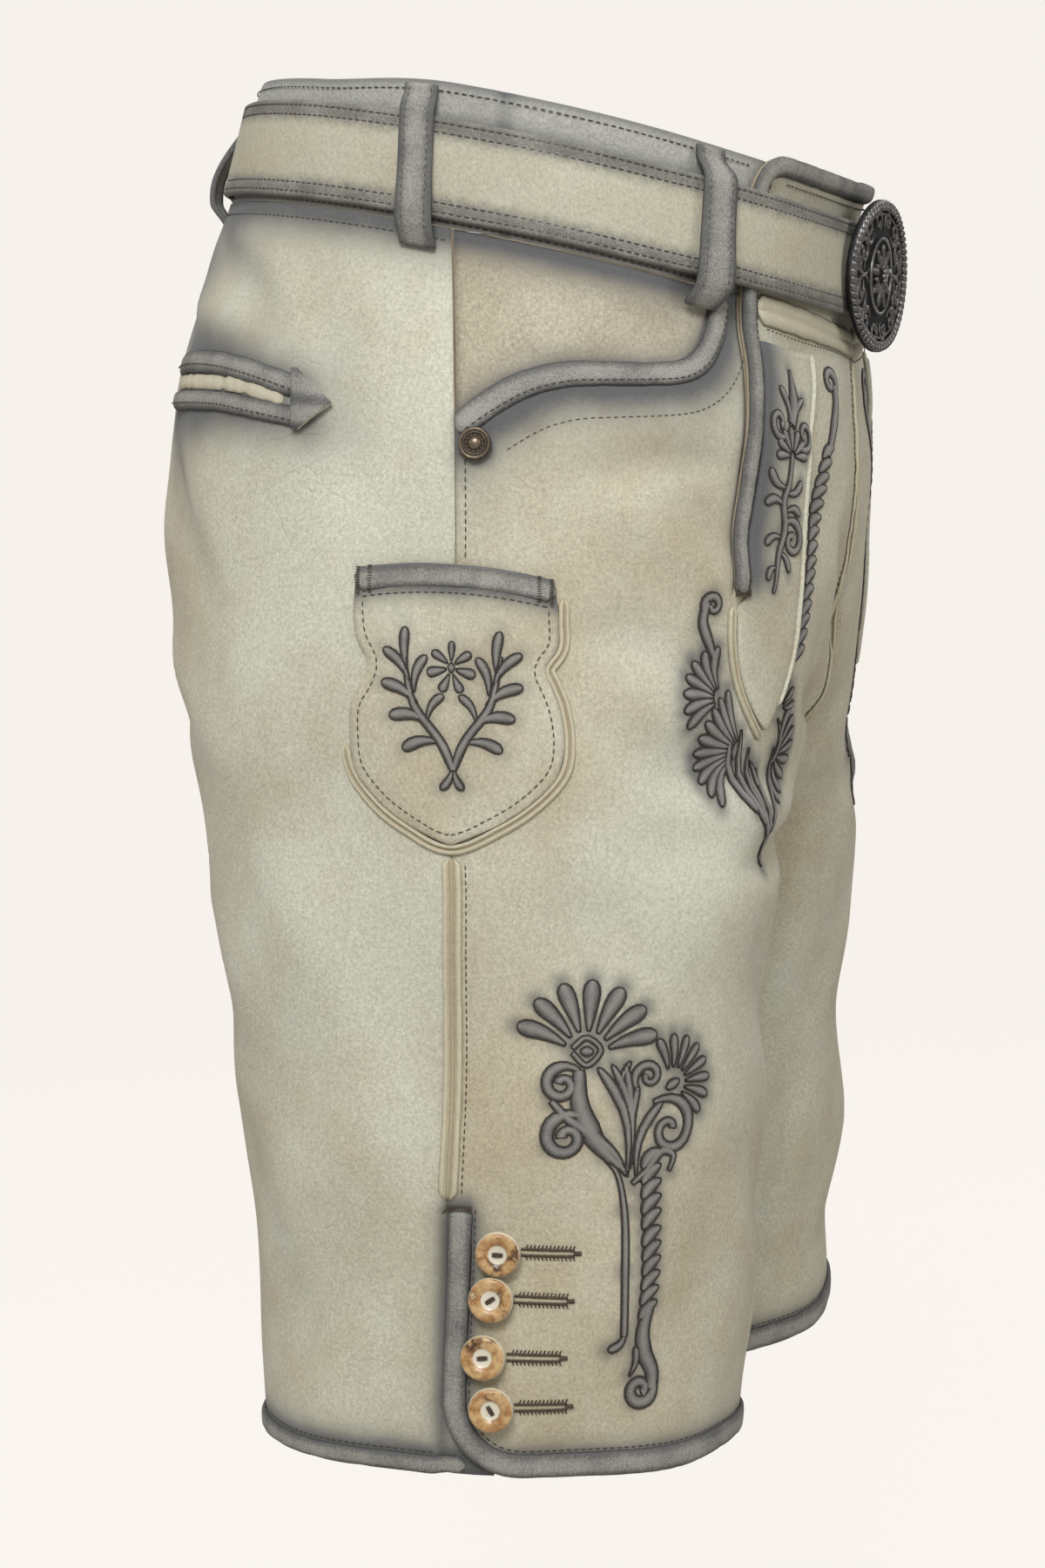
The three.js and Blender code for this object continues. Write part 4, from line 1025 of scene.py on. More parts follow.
def back_panel(side):
    levels = steps(WAIST_SEAM - GAP / 2, -397, HEM)
    stand = np.array([STAND_REACH, STAND_REACH * 0.66, STAND_REACH * 0.33, -0.6])
    z = levels[:, None]
    slit_open = levels <= SLIT_TOP - 3
    edge = np.where(slit_open, -2.4, -GAP / 2)[:, None]
    body_part = mix(edge, MEETING - back_length(z), np.linspace(0, 1, 86)[None, :])
    u = np.concatenate([np.broadcast_to(stand[None, :], (len(levels), 4)), body_part], axis=1)
    z = np.broadcast_to(z, u.shape)
    on_stand = np.arange(u.shape[1])[None, :] < 4
    keep = np.ones((len(levels) - 1, u.shape[1] - 1), bool)
    keep[:, :4] = slit_open[:-1, None]
    warm = 0.02 + 0.46 * ease(-55, -165, u) + 0.3 * bell(np.hypot(u + 150, (z + 130) / 1.3), 60) \
        + 0.22 * bell(np.hypot(u + 130, (z + 430) / 1.6), 50) - 0.12 * bell(np.hypot(u + 60, (z + 250) / 2.5), 60)
    name = f"back_panel_{SIDES[side]}"
    # This mask holds grey airbrushing plus painted shade in the fold troughs.
    values = {"smoke_and_shade": back_smoke_and_shade(side, u, z), "warm": warm}
    made = grid_object(name + "_leather", on_body(side, u, z, np.where(on_stand, -STAND_DEPTH, 0.0)),
                       [suede, flesh_side], keep, values, outward=away_from_leg(side))
    thicken(made, LEATHER)
    cloth(u, z, 0.96)
    return fit(made, "leather_pale", name)


def waist_drop(u, z):
    """How much lower the waistband ends at the back than at the front."""
    return WAISTBAND_DROP * ease(0, -60, u) * ease(0, WAISTBAND_TOP, z)


def waistband(side):
    heights = np.concatenate([[WAISTBAND_TOP, 28.6, 27.6], np.linspace(26, -23, 15), [-25.2, WAIST_SEAM + GAP / 2]])
    z = heights[:, None]
    ends = MEETING
    u = mix(ends - back_length(z), front_length(z) - ends, np.linspace(0, 1, 150)[None, :])
    z = np.broadcast_to(z, u.shape)
    puff = 0.7 * np.sin(math.pi * np.clip((z - WAIST_SEAM) / (WAISTBAND_TOP - WAIST_SEAM), 0, 1)) ** 0.5 - 0.7
    join = np.abs(u - 20)
    ripple = 0.3 * np.sin(u / 9 + 1.2 * np.sin(u / 23)) * bell(z - 24, 9) - 0.9 * bell(join, 1.2) + 0.4 * bell(join - 3, 2)
    smoke_and_shade = 0.10 + 0.5 * bell(z - 29, 2.5) + 0.4 * bell(z - 14, 4) + 0.4 * bell(z + 25, 4) + 0.3 * bell(join, 3)
    z = z - waist_drop(u, z)
    name = f"waistband_{SIDES[side]}"
    values = {"smoke_and_shade": smoke_and_shade, "warm": 0.4 + 0 * u}
    made = grid_object(name + "_leather", on_body(side, u, z, puff + ripple), [band_suede, tan_suede], None, values,
                       outward=away_from_leg(side))
    thicken(made, WAISTBAND_WALL)
    cloth(u, z)
    return fit(made, "leather_grey", name)


# ---- Drop flap ----


def flap_binding():
    inset = FLAP_BINDING_WIDTH / 2
    heights = np.array([FLAP_TACK, -130, -105, -80, -55, WAIST_SEAM, -5, 10, 17, 22.0])
    upright = np.column_stack([flap_edge(heights) - inset, heights])
    half = np.vstack([upright, [[95.5, 24.8], [91, 26.8], [84, FLAP_TOP - inset], [60, FLAP_TOP - inset]]])
    path = curve(np.vstack([half, [[0, FLAP_TOP - inset]], (half * [-1, 1])[::-1]]), 2.6)
    made = strip("flap_binding_roll", over_flap(2 * GAP), path, roll_section(8.0, 2.4, 3.2, 11), [grey_edge], 3, 0.06)
    return fit(made, "leather_grey", "flap_binding")


def flap_band(side):
    path = curve([(103.5, -30), (80, -30.5), (55, -32), (30, -34), (1, -36)])
    made = strip(f"flap_band_{SIDES[side]}_folds", on_flap(side, 2 * GAP), path, cords_section(12.5, 1.2, 2, 8),
                 [cream_fold], 5, 0.1, 1.0)
    return fit(made, "leather_cream", f"flap_band_{SIDES[side]}")


def flap_strip(side):
    levels = np.concatenate([steps(-44, -157), np.linspace(-159, -209, 18)])
    z = levels[:, None]
    outer = smooth(STRIP["z"], STRIP["outer"], z)
    inner = smooth(STRIP["z"], STRIP["inner"], z)
    share = np.linspace(0, 1, 15)[None, :]
    v = mix(outer, inner, share)
    z = np.broadcast_to(z, v.shape)
    edge = np.abs(share * 2 - 1)
    puff = 1.5 - 1.0 * edge**6 + 0.5 * (1 - edge**2) * ease(-150, -175, z)
    smoke_and_shade = 0.95 * np.maximum(drawn(outer - v - 3, 14) * ease(-166, -140, z), 0.7 * halo(v, z, sprig_middles, 5))
    values = {"smoke_and_shade": smoke_and_shade, "warm": 0.25 + 0.15 * share + 0 * z}
    name = f"flap_strip_{SIDES[side]}"
    points = on_flap(side, 2 * GAP)(v, z, puff)
    made = grid_object(name + "_leather", points, [suede, suede], None, values, outward=away_from_leg(side))
    thicken(made, 1.2)
    cloth(v, z, 0.98)
    return fit(made, "leather_pale", name)


def strip_ridge(side):
    heights = np.linspace(-44, -200, 24)
    path = even(np.column_stack([smooth(STRIP["z"], STRIP["inner"], heights), heights]), 2.5)
    made = strip(f"flap_strip_{SIDES[side]}_ridge", on_flap(side, 2 * GAP), path, roll_section(2.6, 2.1, 2, 7),
                 [suede], 9, 0.05, 1.0)
    return fit(made, "leather_pale", f"flap_strip_{SIDES[side]}")


def tongue_piping(side):
    path = curve([(131.5, -157), (130.3, -173), (123.5, -192), (116.3, -204), (109, -212.5)], 2)
    made = strip(f"tongue_piping_{SIDES[side]}_cords", on_flap(side, GAP), path, cords_section(4.6, 1.5, 2, 5), [piping],
                 11, 0.05, 1.0)
    return fit(made, "leather_cream", f"tongue_piping_{SIDES[side]}")


def centre_piping(side):
    path = even([(2.9, -43), (2.9, -252)], 2.8)
    made = strip(f"centre_piping_{SIDES[side]}_cords", on_flap(side, GAP), path, cords_section(3.8, 1.3, 2, 5), [piping],
                 13, 0.05, 1.0)
    return fit(made, "leather_cream", f"centre_piping_{SIDES[side]}")


# ---- Pockets ----


def pocket_binding(side):
    points = np.column_stack([POCKET_MOUTH["u"], POCKET_MOUTH["z"]])
    points[0, 0], points[-1, 1] = 1, -29
    made = strip(f"pocket_binding_{SIDES[side]}_roll", on_leather(side, GAP), curve(points, 2.6),
                 roll_section(9.4, 1.6, 4, 11), [grey_edge], 17, 0.07, 1.2)
    return fit(made, "leather_grey", f"pocket_binding_{SIDES[side]}")


def turned(name, profile, side, u, z, lift, materials, shade, steps_round=40, tilt=0.0):
    """A shape spun round its own axis, standing on the leather. profile is a list of (radius, height)."""
    bm = bmesh.new()
    ring = [bm.verts.new((r, 0, h)) for r, h in profile]
    edges = [bm.edges.new(pair) for pair in zip(ring[:-1], ring[1:])]
    bmesh.ops.spin(bm, geom=ring + edges, cent=(0, 0, 0), axis=(0, 0, 1), angle=2 * math.pi, steps=steps_round,
                   use_merge=True)
    bmesh.ops.remove_doubles(bm, verts=bm.verts, dist=1e-4)
    bmesh.ops.recalc_face_normals(bm, faces=bm.faces)
    mesh = bpy.data.meshes.new(name)
    bm.to_mesh(mesh)
    bm.free()
    local = np.array([v.co for v in mesh.vertices])
    write_values(mesh, "shade", shade(local))
    mesh.transform(stand_on(side, u, z, lift, tilt))
    return keep_object(name, mesh, materials)


def stand_on(side, u, z, lift, tilt=0.0):
    """The matrix, to metres, of a frame that stands on the leather: x to the front and z outwards."""
    centre = on_body(side, u, z, lift)
    out = unit(on_body(side, u, z, 5.0) - on_body(side, u, z, 0.0))
    ahead = on_body(side, u + 2, z, 0.0) - on_body(side, u - 2, z, 0.0)
    ahead = unit(ahead - out * np.dot(ahead, out))
    up = np.cross(out, ahead)
    frame_axes = Matrix((ahead, up, out)).transposed().to_4x4()
    return Matrix.Translation(Vector(centre * MM)) @ frame_axes @ Matrix.Rotation(tilt, 4, "X") @ Matrix.Scale(MM, 4)


def pocket_rivet(side):
    profile = [(0, 0), (5.6, 0), (6.3, 0.5), (6.3, 1.3), (5.9, 1.9), (5.2, 2.0), (4.9, 1.6), (4.6, 1.5), (4.3, 1.8),
               (4.0, 1.5), (2.4, 1.45), (2.1, 1.9), (1.2, 2.2), (0, 2.25)]
    made = turned(f"pocket_rivet_{SIDES[side]}_cap", profile, side, 8, -101.5, TRIM + 2 * GAP, [bronze],
                  lambda p: (p[:, 2] - 1.2) / 1.0)
    dots = Heap()
    turns = np.arange(12) * math.pi / 6
    matrix = np.array(stand_on(side, 8, -101.5, TRIM + 2 * GAP)) / MM
    centres = np.column_stack([3.2 * np.cos(turns), 3.2 * np.sin(turns), np.full(12, 1.5)])
    placed = centres @ matrix[:3, :3].T + matrix[:3, 3]
    axes = [np.repeat(matrix[:3, k][None], 12, axis=0) * 0.42 for k in range(3)]
    stamp(dots, ROUND_BEAD, placed, *axes, shade=0.9)
    fit(dots.make(f"pocket_rivet_{SIDES[side]}_beads", [bronze]), "bronze", f"pocket_rivet_{SIDES[side]}")
    return fit(made, "bronze", f"pocket_rivet_{SIDES[side]}")


def back_pocket(side):
    name = f"back_pocket_upper_welt_{SIDES[side]}"
    made = strip(name + "_roll", on_leather(side, GAP), curve(UPPER_WELT, 2.6), roll_section(8.2, 2.2, 3, 11),
                 [grey_edge], 19, 0.1, 2.5)
    fit(made, "leather_grey", name)
    name = f"back_pocket_lower_welt_{SIDES[side]}"
    made = strip(name + "_roll", on_leather(side, GAP), curve(LOWER_WELT, 2.6), roll_section(7.2, 2.4, 2.8, 11),
                 [grey_edge], 23, 0.1, 2.5)
    fit(made, "leather_grey", name)
    mouth = curve([(-176, -91.2), (-134, -90.2), (-100, -90.2), (-72, -93.5)], 1.6)
    made = strip(f"back_pocket_bag_{SIDES[side]}", on_leather(side, -0.2), mouth, roll_section(6.0, 1.6, 2.4, 9),
                 [cream_fold], 29, 0.35, 3.0)
    fit(made, "leather_cream")
    name = f"back_pocket_tab_{SIDES[side]}"
    z = np.linspace(-83, -103, 9)[:, None]
    point = mix(-51, -64, np.abs(z + 93) / 10)
    u = mix(-67 + 0 * z, point, np.linspace(0, 1, 8)[None, :])
    z = np.broadcast_to(z, u.shape)
    lift = TRIM + 3 * GAP + 1.6 - 0.9 * ((u + 60) / 9) ** 2
    values = {"across": 2 * np.abs(z + 93) / 10 - 1, "along": u * MM}
    made = grid_object(name + "_leather", on_body(side, u, z, lift), [grey_edge, piping], None, values,
                       outward=away_from_leg(side))
    thicken(made, 1.5)
    cloth(u, z)
    fit(made, "leather_grey", name)


def knife_edges(z):
    return smooth(KNIFE_POCKET["z"], KNIFE_POCKET["left"], z), smooth(KNIFE_POCKET["z"], KNIFE_POCKET["right"], z)


def knife_outline(inset, upper=-154, spacing=2.0):
    """The pocket's outline without its top edge, from its left corner round to its right one."""
    heights = KNIFE_POCKET["z"][1:-1]
    heights = heights[heights < upper + 12]
    left, right = knife_edges(heights)
    down = np.column_stack([left, heights])
    tip = [[0, KNIFE_POCKET["z"][-1]]]
    starts = [[[edge[0], upper]] if upper > heights[0] + 3 else [] for edge in (left, right)]
    up = np.column_stack([right, heights])[::-1]
    path = curve(np.vstack([part for part in (starts[0], down, tip, up, starts[1]) if len(part)]), spacing)
    return beside(path, inset)


def knife_lift(share, u, z):
    """How far the pocket's face stands out, share from side to side of it."""
    edge = np.clip(np.maximum(np.abs(share), np.clip((-232 - z) / 17, 0, 1) ** 2), 0, 1)
    return GAP + TRIM + 1.3 * (1 - edge**4) + 0.35 * np.sin(u / 7 + z / 11) * (1 - edge)


def on_knife_pocket(u, z, height):
    left, right = knife_edges(z)
    return on_body(RIGHT, u, z, knife_lift(2 * (u - left) / (right - left) - 1, u, z) + height)


def knife_pocket():
    levels = np.concatenate([steps(-149, -232), np.linspace(-234, -248.5, 9)])
    z = levels[:, None]
    left, right = knife_edges(z)
    share = np.linspace(-1, 1, 31)[None, :]
    u = mix(left, right, (share + 1) / 2)
    arch = KNIFE_POCKET_ARCH * np.clip((z + 164) / 15, 0, 1) * (1 - (u / 38) ** 2)
    z = z + arch
    lift = knife_lift(share, u, z)
    smoke_and_shade = np.maximum(0.8 * drawn(-158 - z + 4 * (1 - (u / 38) ** 2), 5), 0.4 * halo(u, z, pocket_middles, 5))
    warm = 0.45 + 0.35 * bell(np.hypot(u, z + 225), 25) + 0 * u
    made = grid_object("knife_pocket_leather", on_body(RIGHT, u, z, lift), [suede, piping], None,
                       {"smoke_and_shade": smoke_and_shade, "warm": warm}, outward=away_from_leg(RIGHT))
    thicken(made, TRIM)
    cloth(u, z, 0.98)
    fit(made, "leather_pale", "knife_pocket")
    span = np.linspace(-38.5, 38.5, 34)
    band = np.column_stack([span, -149 + KNIFE_POCKET_ARCH * (1 - (span / 38.5) ** 2) - 4.6])
    made = strip("knife_pocket_band_leather", on_leather(RIGHT, TRIM + 2 * GAP), even(band, 2.6),
                 roll_section(9.0, 1.5, 6, 11), [grey_edge], 31, 0.04, 0.6)
    fit(made, "leather_grey", "knife_pocket_band")
    outline_path = knife_outline(-2.1, -156)
    corner = np.argmax(outline_path[:, 1] < -212)
    made = strip("knife_pocket_piping_cords", on_leather(RIGHT, GAP), outline_path[corner:],
                 cords_section(4.6, 1.6, 2, 6), [piping], 37, 0.05, 1.5)
    fit(made, "leather_cream", "knife_pocket_piping")


# ---- Side seam, leg slit and hems ----


def side_piping(side):
    made = strip(f"side_piping_{SIDES[side]}_cords", on_leather(side, 0.0), even([(0, -254), (0, SLIT_TOP + 2)], 2.6),
                 cords_section(8, 1.9, 3, 6), [piping], 41, 0.06, 1.0)
    return fit(made, "leather_cream", f"side_piping_{SIDES[side]}")


def slit_path(inset):
    """Up the slit's front edge reversed: down from its top, round the corner and along the hem."""
    turns = np.linspace(0, math.pi / 2, 9)[1:]
    radius = SLIT_CORNER - inset
    corner = np.column_stack([SLIT_CORNER - radius * np.cos(turns), HEM + SLIT_CORNER - radius * np.sin(turns)])
    upright = [(inset + 0.2, z) for z in np.linspace(SLIT_TOP - 1, HEM + SLIT_CORNER, 18)]
    along = [(u, HEM + inset) for u in np.linspace(SLIT_CORNER + 5, float(front_length(HEM)) - 1, 60)]
    return even(np.vstack([upright, corner, along]), 2.6)


def slit_binding(side):
    path = slit_path(SLIT_BINDING_WIDTH / 2)
    made = strip(f"slit_binding_{SIDES[side]}_roll", on_leather(side, GAP), path,
                 roll_section(SLIT_BINDING_WIDTH, 1.7, 4, 11), [grey_edge], 43, 0.07, 1.5)
    return fit(made, "leather_grey", f"slit_binding_{SIDES[side]}")


def back_hem_binding(side):
    def place(u, z, height):
        return on_body(side, u, z, height + mix(GAP, -STAND_DEPTH, np.clip((u + 2) / 1.8, 0, 1)))
    z = HEM + 3.6
    path = even([(9, z), (1 - float(back_length(z)), z)], 2.6)
    made = strip(f"back_hem_binding_{SIDES[side]}_roll", place, path, roll_section(7.4, 1.7, 3.6, 11), [grey_edge], 47,
                 0.08, 1.5)
    return fit(made, "leather_grey", f"back_hem_binding_{SIDES[side]}")


def horn_button(side, number, z, u, turn):
    r, h = BUTTON_RADIUS, BUTTON_HEIGHT
    profile = [(0, 0), (r - 1.4, 0), (r - 0.3, 0.7), (r, 2.0), (r - 0.2, h - 0.9), (r - 0.9, h - 0.15), (r - 1.8, h),
               (5.0, h - 0.4), (4.2, h - 0.7), (3.8, h - 1.1), (2.0, h - 1.3), (0, h - 1.3)]
    name = f"horn_button_{number}_{SIDES[side]}"
    made = turned(name + "_disc", profile, side, u, z, TRIM + 3 * GAP, [horn],
                  lambda p: np.where(p[:, 2] < h - 1.6, 1.2, np.hypot(p[:, 0], p[:, 1]) / r), 44)
    fit(made, "horn", name)
    thread = Heap()
    matrix = np.array(stand_on(side, u, z, TRIM + 3 * GAP)) / MM
    ends = np.array([math.cos(turn), math.sin(turn), 0.0])
    for shift in (-0.55, 0, 0.55):
        centre = np.array([[-ends[1] * shift, ends[0] * shift, h - 1.0]])
        placed = centre @ matrix[:3, :3].T + matrix[:3, 3]
        turnwise = lambda v: (np.asarray(v) @ matrix[:3, :3].T)[None]
        stamp(thread, ROUND_BEAD, placed, turnwise(ends * 2.3), turnwise([-ends[1] * 0.4, ends[0] * 0.4, 0]),
              turnwise([0, 0, 0.45]))
    fit(thread.make(name + "_thread", [bar_thread]), "thread", name)


# ---- Belt, loops and buckle ----


def belt_out(u):
    return mix(BELT_OUT_FRONT, BELT_OUT_SIDE, ease(116, 150, front_length(0) - u))


def on_belt(side, u, z, out):
    """A place on the belt, whose ends keep to the body's as it narrows upwards."""
    ends = np.where(u < 0, back_length(z) / back_length(0), front_length(z) / front_length(0))
    return on_body(side, u * ends, z, belt_out(u) + out)


def belt():
    length, rear = float(front_length(0)), float(back_length(0))
    stops = np.linspace(length, GAP - rear, 150)
    right = [(u, RIGHT) for u in stops]
    left = [(u, LEFT) for u in stops[::-1] if u < length - BELT_FOLD] + [(length - BELT_FOLD, LEFT)]
    tip = [(u, LEFT) for u in np.linspace(length - BELT_TIP, length, 9)[:-1]]
    route = tip + right + left
    t = np.array([-1, -0.985, -0.95, -0.9, -0.88, -0.86, -0.74, -0.69, -0.64, 0])
    deep = np.array([1.2, 2.3, 2.95, 3.0, 2.85, 3.05, 3.1, 2.9, 3.05, 3.15])
    across = np.concatenate([t, -t[-2::-1], [1, 0.0, -1], t[:1]])
    depth = np.concatenate([deep, deep[-2::-1], [0.3, 0, 0.3], deep[:1]])
    middle, half = (BELT_LOW + BELT_HIGH) / 2, (BELT_HIGH - BELT_LOW) / 2
    along = np.arange(len(route)) * 3.0
    sway = 0.35 * wobble(along, 53, 90)
    points = np.stack([
        on_belt(side, np.full(len(across), u), middle + half * across, depth + sway[i])
        for i, (u, side) in enumerate(route)
    ])
    values = {"across": across[None, :], "along": along[:, None] * MM}
    made = grid_object("belt_strap_leather", points, [belt_leather], values=values, closed=True)
    return fit(made, "belt_leather", "belt_strap")


LOOP_PROFILE = table("z over", [
    [27, 0], [23.5, 0.05], [18.5, 0.7], [15, 1], [4, 1.06], [-10, 1.16], [-21, 1.28], [-27, 1.2], [-31, 0.85],
    [-33.5, 0.4], [-35, 0.1], [-35.6, 0],
])
LOOP_LEAN = {"front": 3.5, "side": 1.0, "back": 2.0}  # how much further to the front its top is
LOOP_STAND = {"front": 0.0, "side": 0.4, "back": 9.0}  # how far its lower half hangs clear of the belt


def on_loop(side, name, middle, across, z, height):
    """A place on a belt loop, height above its outer face."""
    over = smooth(LOOP_PROFILE["z"], LOOP_PROFILE["over"], z)
    u = middle + LOOP_LEAN[name] * (z + 30) / 55 + across
    clear = LOOP_STAND[name] * bell(z + 14, 24) * np.minimum(over, 1)
    out = mix(2 * GAP, belt_out(u) + BELT_WALL + 3 * GAP, over) + LOOP_WALL + clear
    return on_body(side, u, z - np.where(z > 20, waist_drop(u, z), 0) * ease(20, 24, z), out + height)


def belt_loop(side, name, middle):
    z = np.concatenate([np.linspace(27, -24, 26), np.linspace(-25.5, -35.6, 9)])[:, None]
    t = np.linspace(-1, 1, 9)[None, :]
    across = t * (LOOP_WIDTH / 2 + 0.5 + 0.5 * ease(0, -30, z))
    z = np.broadcast_to(z, across.shape)
    points = on_loop(side, name, middle, across, z, 0.3 * (1 - t**4) - 0.25 * bell(t, 0.3))
    piece = f"belt_loop_{name}_{SIDES[side]}"
    made = grid_object(piece + "_leather", points, [loop_leather, loop_leather], None,
                       {"across": t + 0 * z, "along": z * MM}, outward=away_from_leg(side))
    thicken(made, LOOP_WALL)
    cloth(across, z)
    return fit(made, "leather_grey", piece)


def on_plate(a, b, height):
    """A place on the buckle: a across, b up, height in front of its back."""
    a, b, height = np.broadcast_arrays(np.asarray(a, float), np.asarray(b, float), np.asarray(height, float))
    y = -height + a**2 / (2 * BUCKLE_BEND)
    c, s = math.cos(BUCKLE_TILT), math.sin(BUCKLE_TILT)
    ahead, up = y * c - b * s, y * s + b * c
    c, s = math.cos(BUCKLE_TURN), math.sin(BUCKLE_TURN)
    return np.stack([a * c + ahead * s, ahead * c - a * s + BUCKLE_BACK, up + BUCKLE_DROP], axis=-1)


def buckle():
    half_a, half_b = BUCKLE_WIDTH / 2, BUCKLE_HEIGHT / 2
    profile = np.array([(0, 0), (0.5, 0), (0.95, 0), (1, 0.8), (1, 2.4), (0.985, 2.9), (0.95, 2.6), (0.9, 1.9),
                        (0.86, 1.7), (0.6, 1.9), (0.3, 2.1), (0, 2.2)])
    turn = np.linspace(0, 2 * math.pi, 97)
    share, height = profile[:, :1], profile[:, 1:]
    shrink = half_b * (1 - share)
    points = on_plate((half_a - shrink) * np.cos(turn) * (share > 0), (half_b - shrink) * np.sin(turn), height)
    made = grid_object("buckle_plate_ground", points, [antique], values={"shade": (height - 1.9) / 1.4}, closed=True)
    fit(made, "antique_metal", "buckle_plate")

    relief_work = Heap()

    def oval(shrink_by, count=96):
        turn = np.arange(count) * 2 * math.pi / count
        return np.column_stack([(half_a - shrink_by) * np.cos(turn), (half_b - shrink_by) * np.sin(turn)])

    beads = oval(2.5, 62)
    ahead = unit(np.roll(beads, -1, axis=0) - np.roll(beads, 1, axis=0))
    slant = ahead * 0.75 + np.column_stack([-ahead[:, 1], ahead[:, 0]]) * 0.66
    cross = np.column_stack([-slant[:, 1], slant[:, 0]])
    centre = on_plate(beads[:, 0], beads[:, 1], 2.9)
    long = on_plate(beads[:, 0] + slant[:, 0] * 2.9, beads[:, 1] + slant[:, 1] * 2.9, 2.9) - centre
    wide = on_plate(beads[:, 0] + cross[:, 0] * 1.5, beads[:, 1] + cross[:, 1] * 1.5, 2.9) - centre
    out = on_plate(beads[:, 0], beads[:, 1], 4.6) - centre
    stamp(relief_work, ROUND_BEAD, centre, long, wide, out, shade=0.75)
    cord_on(relief_work, on_plate, oval(5.9), 0.6, 6, True, 2.2, shade=0.7)
    medallion = np.column_stack([15.5 * np.cos(turn[:-1]), 15.5 * np.sin(turn[:-1])])
    cord_on(relief_work, on_plate, medallion[::2], 0.8, 6, True, 2.3, shade=0.75)
    for flip_a in (1, -1):
        for flip_b in (1, -1):
            place = lambda a, b, h, fa=flip_a, fb=flip_b: on_plate(a * fa, b * fb, h + 1.7)
            motif = Motif(relief_work, place, None, 1.5)
            motif.curl((17, 3), (25.5, 9), 1.5, 1.5, 0.9)
            motif.curl((24, 2), (31, 5.5), -1.4, 1.3, 0.8)
            motif.curl((13, 17), (19.5, 18.5), 1.4, 1.4, 0.8)
            motif.curl((3, 19), (7, 22.5), -1.3, 1.2, 0.7)
            motif.petal((27, 14), (33, 12.5), 1.5)
            motif.petal((17, 13), (23, 17), 1.6)
            motif.petal((34, 1), (37, 6), 1.2)
    motif = Motif(relief_work, lambda a, b, h: on_plate(a, b, h + 1.9), None, 1.7)
    motif.fan((0, 0), 3.4, 13.5, 90, 90 + 320, 9, 2.5)
    motif.fan((0, 0), 3.2, 9.0, 110, 110 + 320, 9, 1.6)
    dots = np.vstack([[[0, 0]], np.column_stack([2.2 * np.cos(turn[:-1:16]), 2.2 * np.sin(turn[:-1:16])])])
    at = on_plate(dots[:, 0], dots[:, 1], 4.0)
    axes = [np.repeat(np.array([axis], float), len(dots), axis=0) for axis in ((1.1, 0, 0), (0, 0, 1.1), (0, -0.9, 0))]
    stamp(relief_work, ROUND_BEAD, at, *axes, shade=0.9)
    fit(relief_work.make("buckle_plate_relief", [antique]), "antique_metal", "buckle_plate")


def buckle_wire(name, node, points, radius):
    line = bpy.data.curves.new(name, "CURVE")
    line.dimensions = "3D"
    line.bevel_depth = radius * MM
    line.bevel_resolution = 3
    line.use_fill_caps = True
    spline = line.splines.new("POLY")
    spline.points.add(len(points) - 1)
    for knot, point in zip(spline.points, points):
        knot.co = (*(np.asarray(point) * MM), 1)
    line.materials.append(antique)
    made = bpy.data.objects.new(name, line)
    bpy.context.scene.collection.objects.link(made)
    return fit(made, "antique_metal", node)


# ---- Embroidery ----


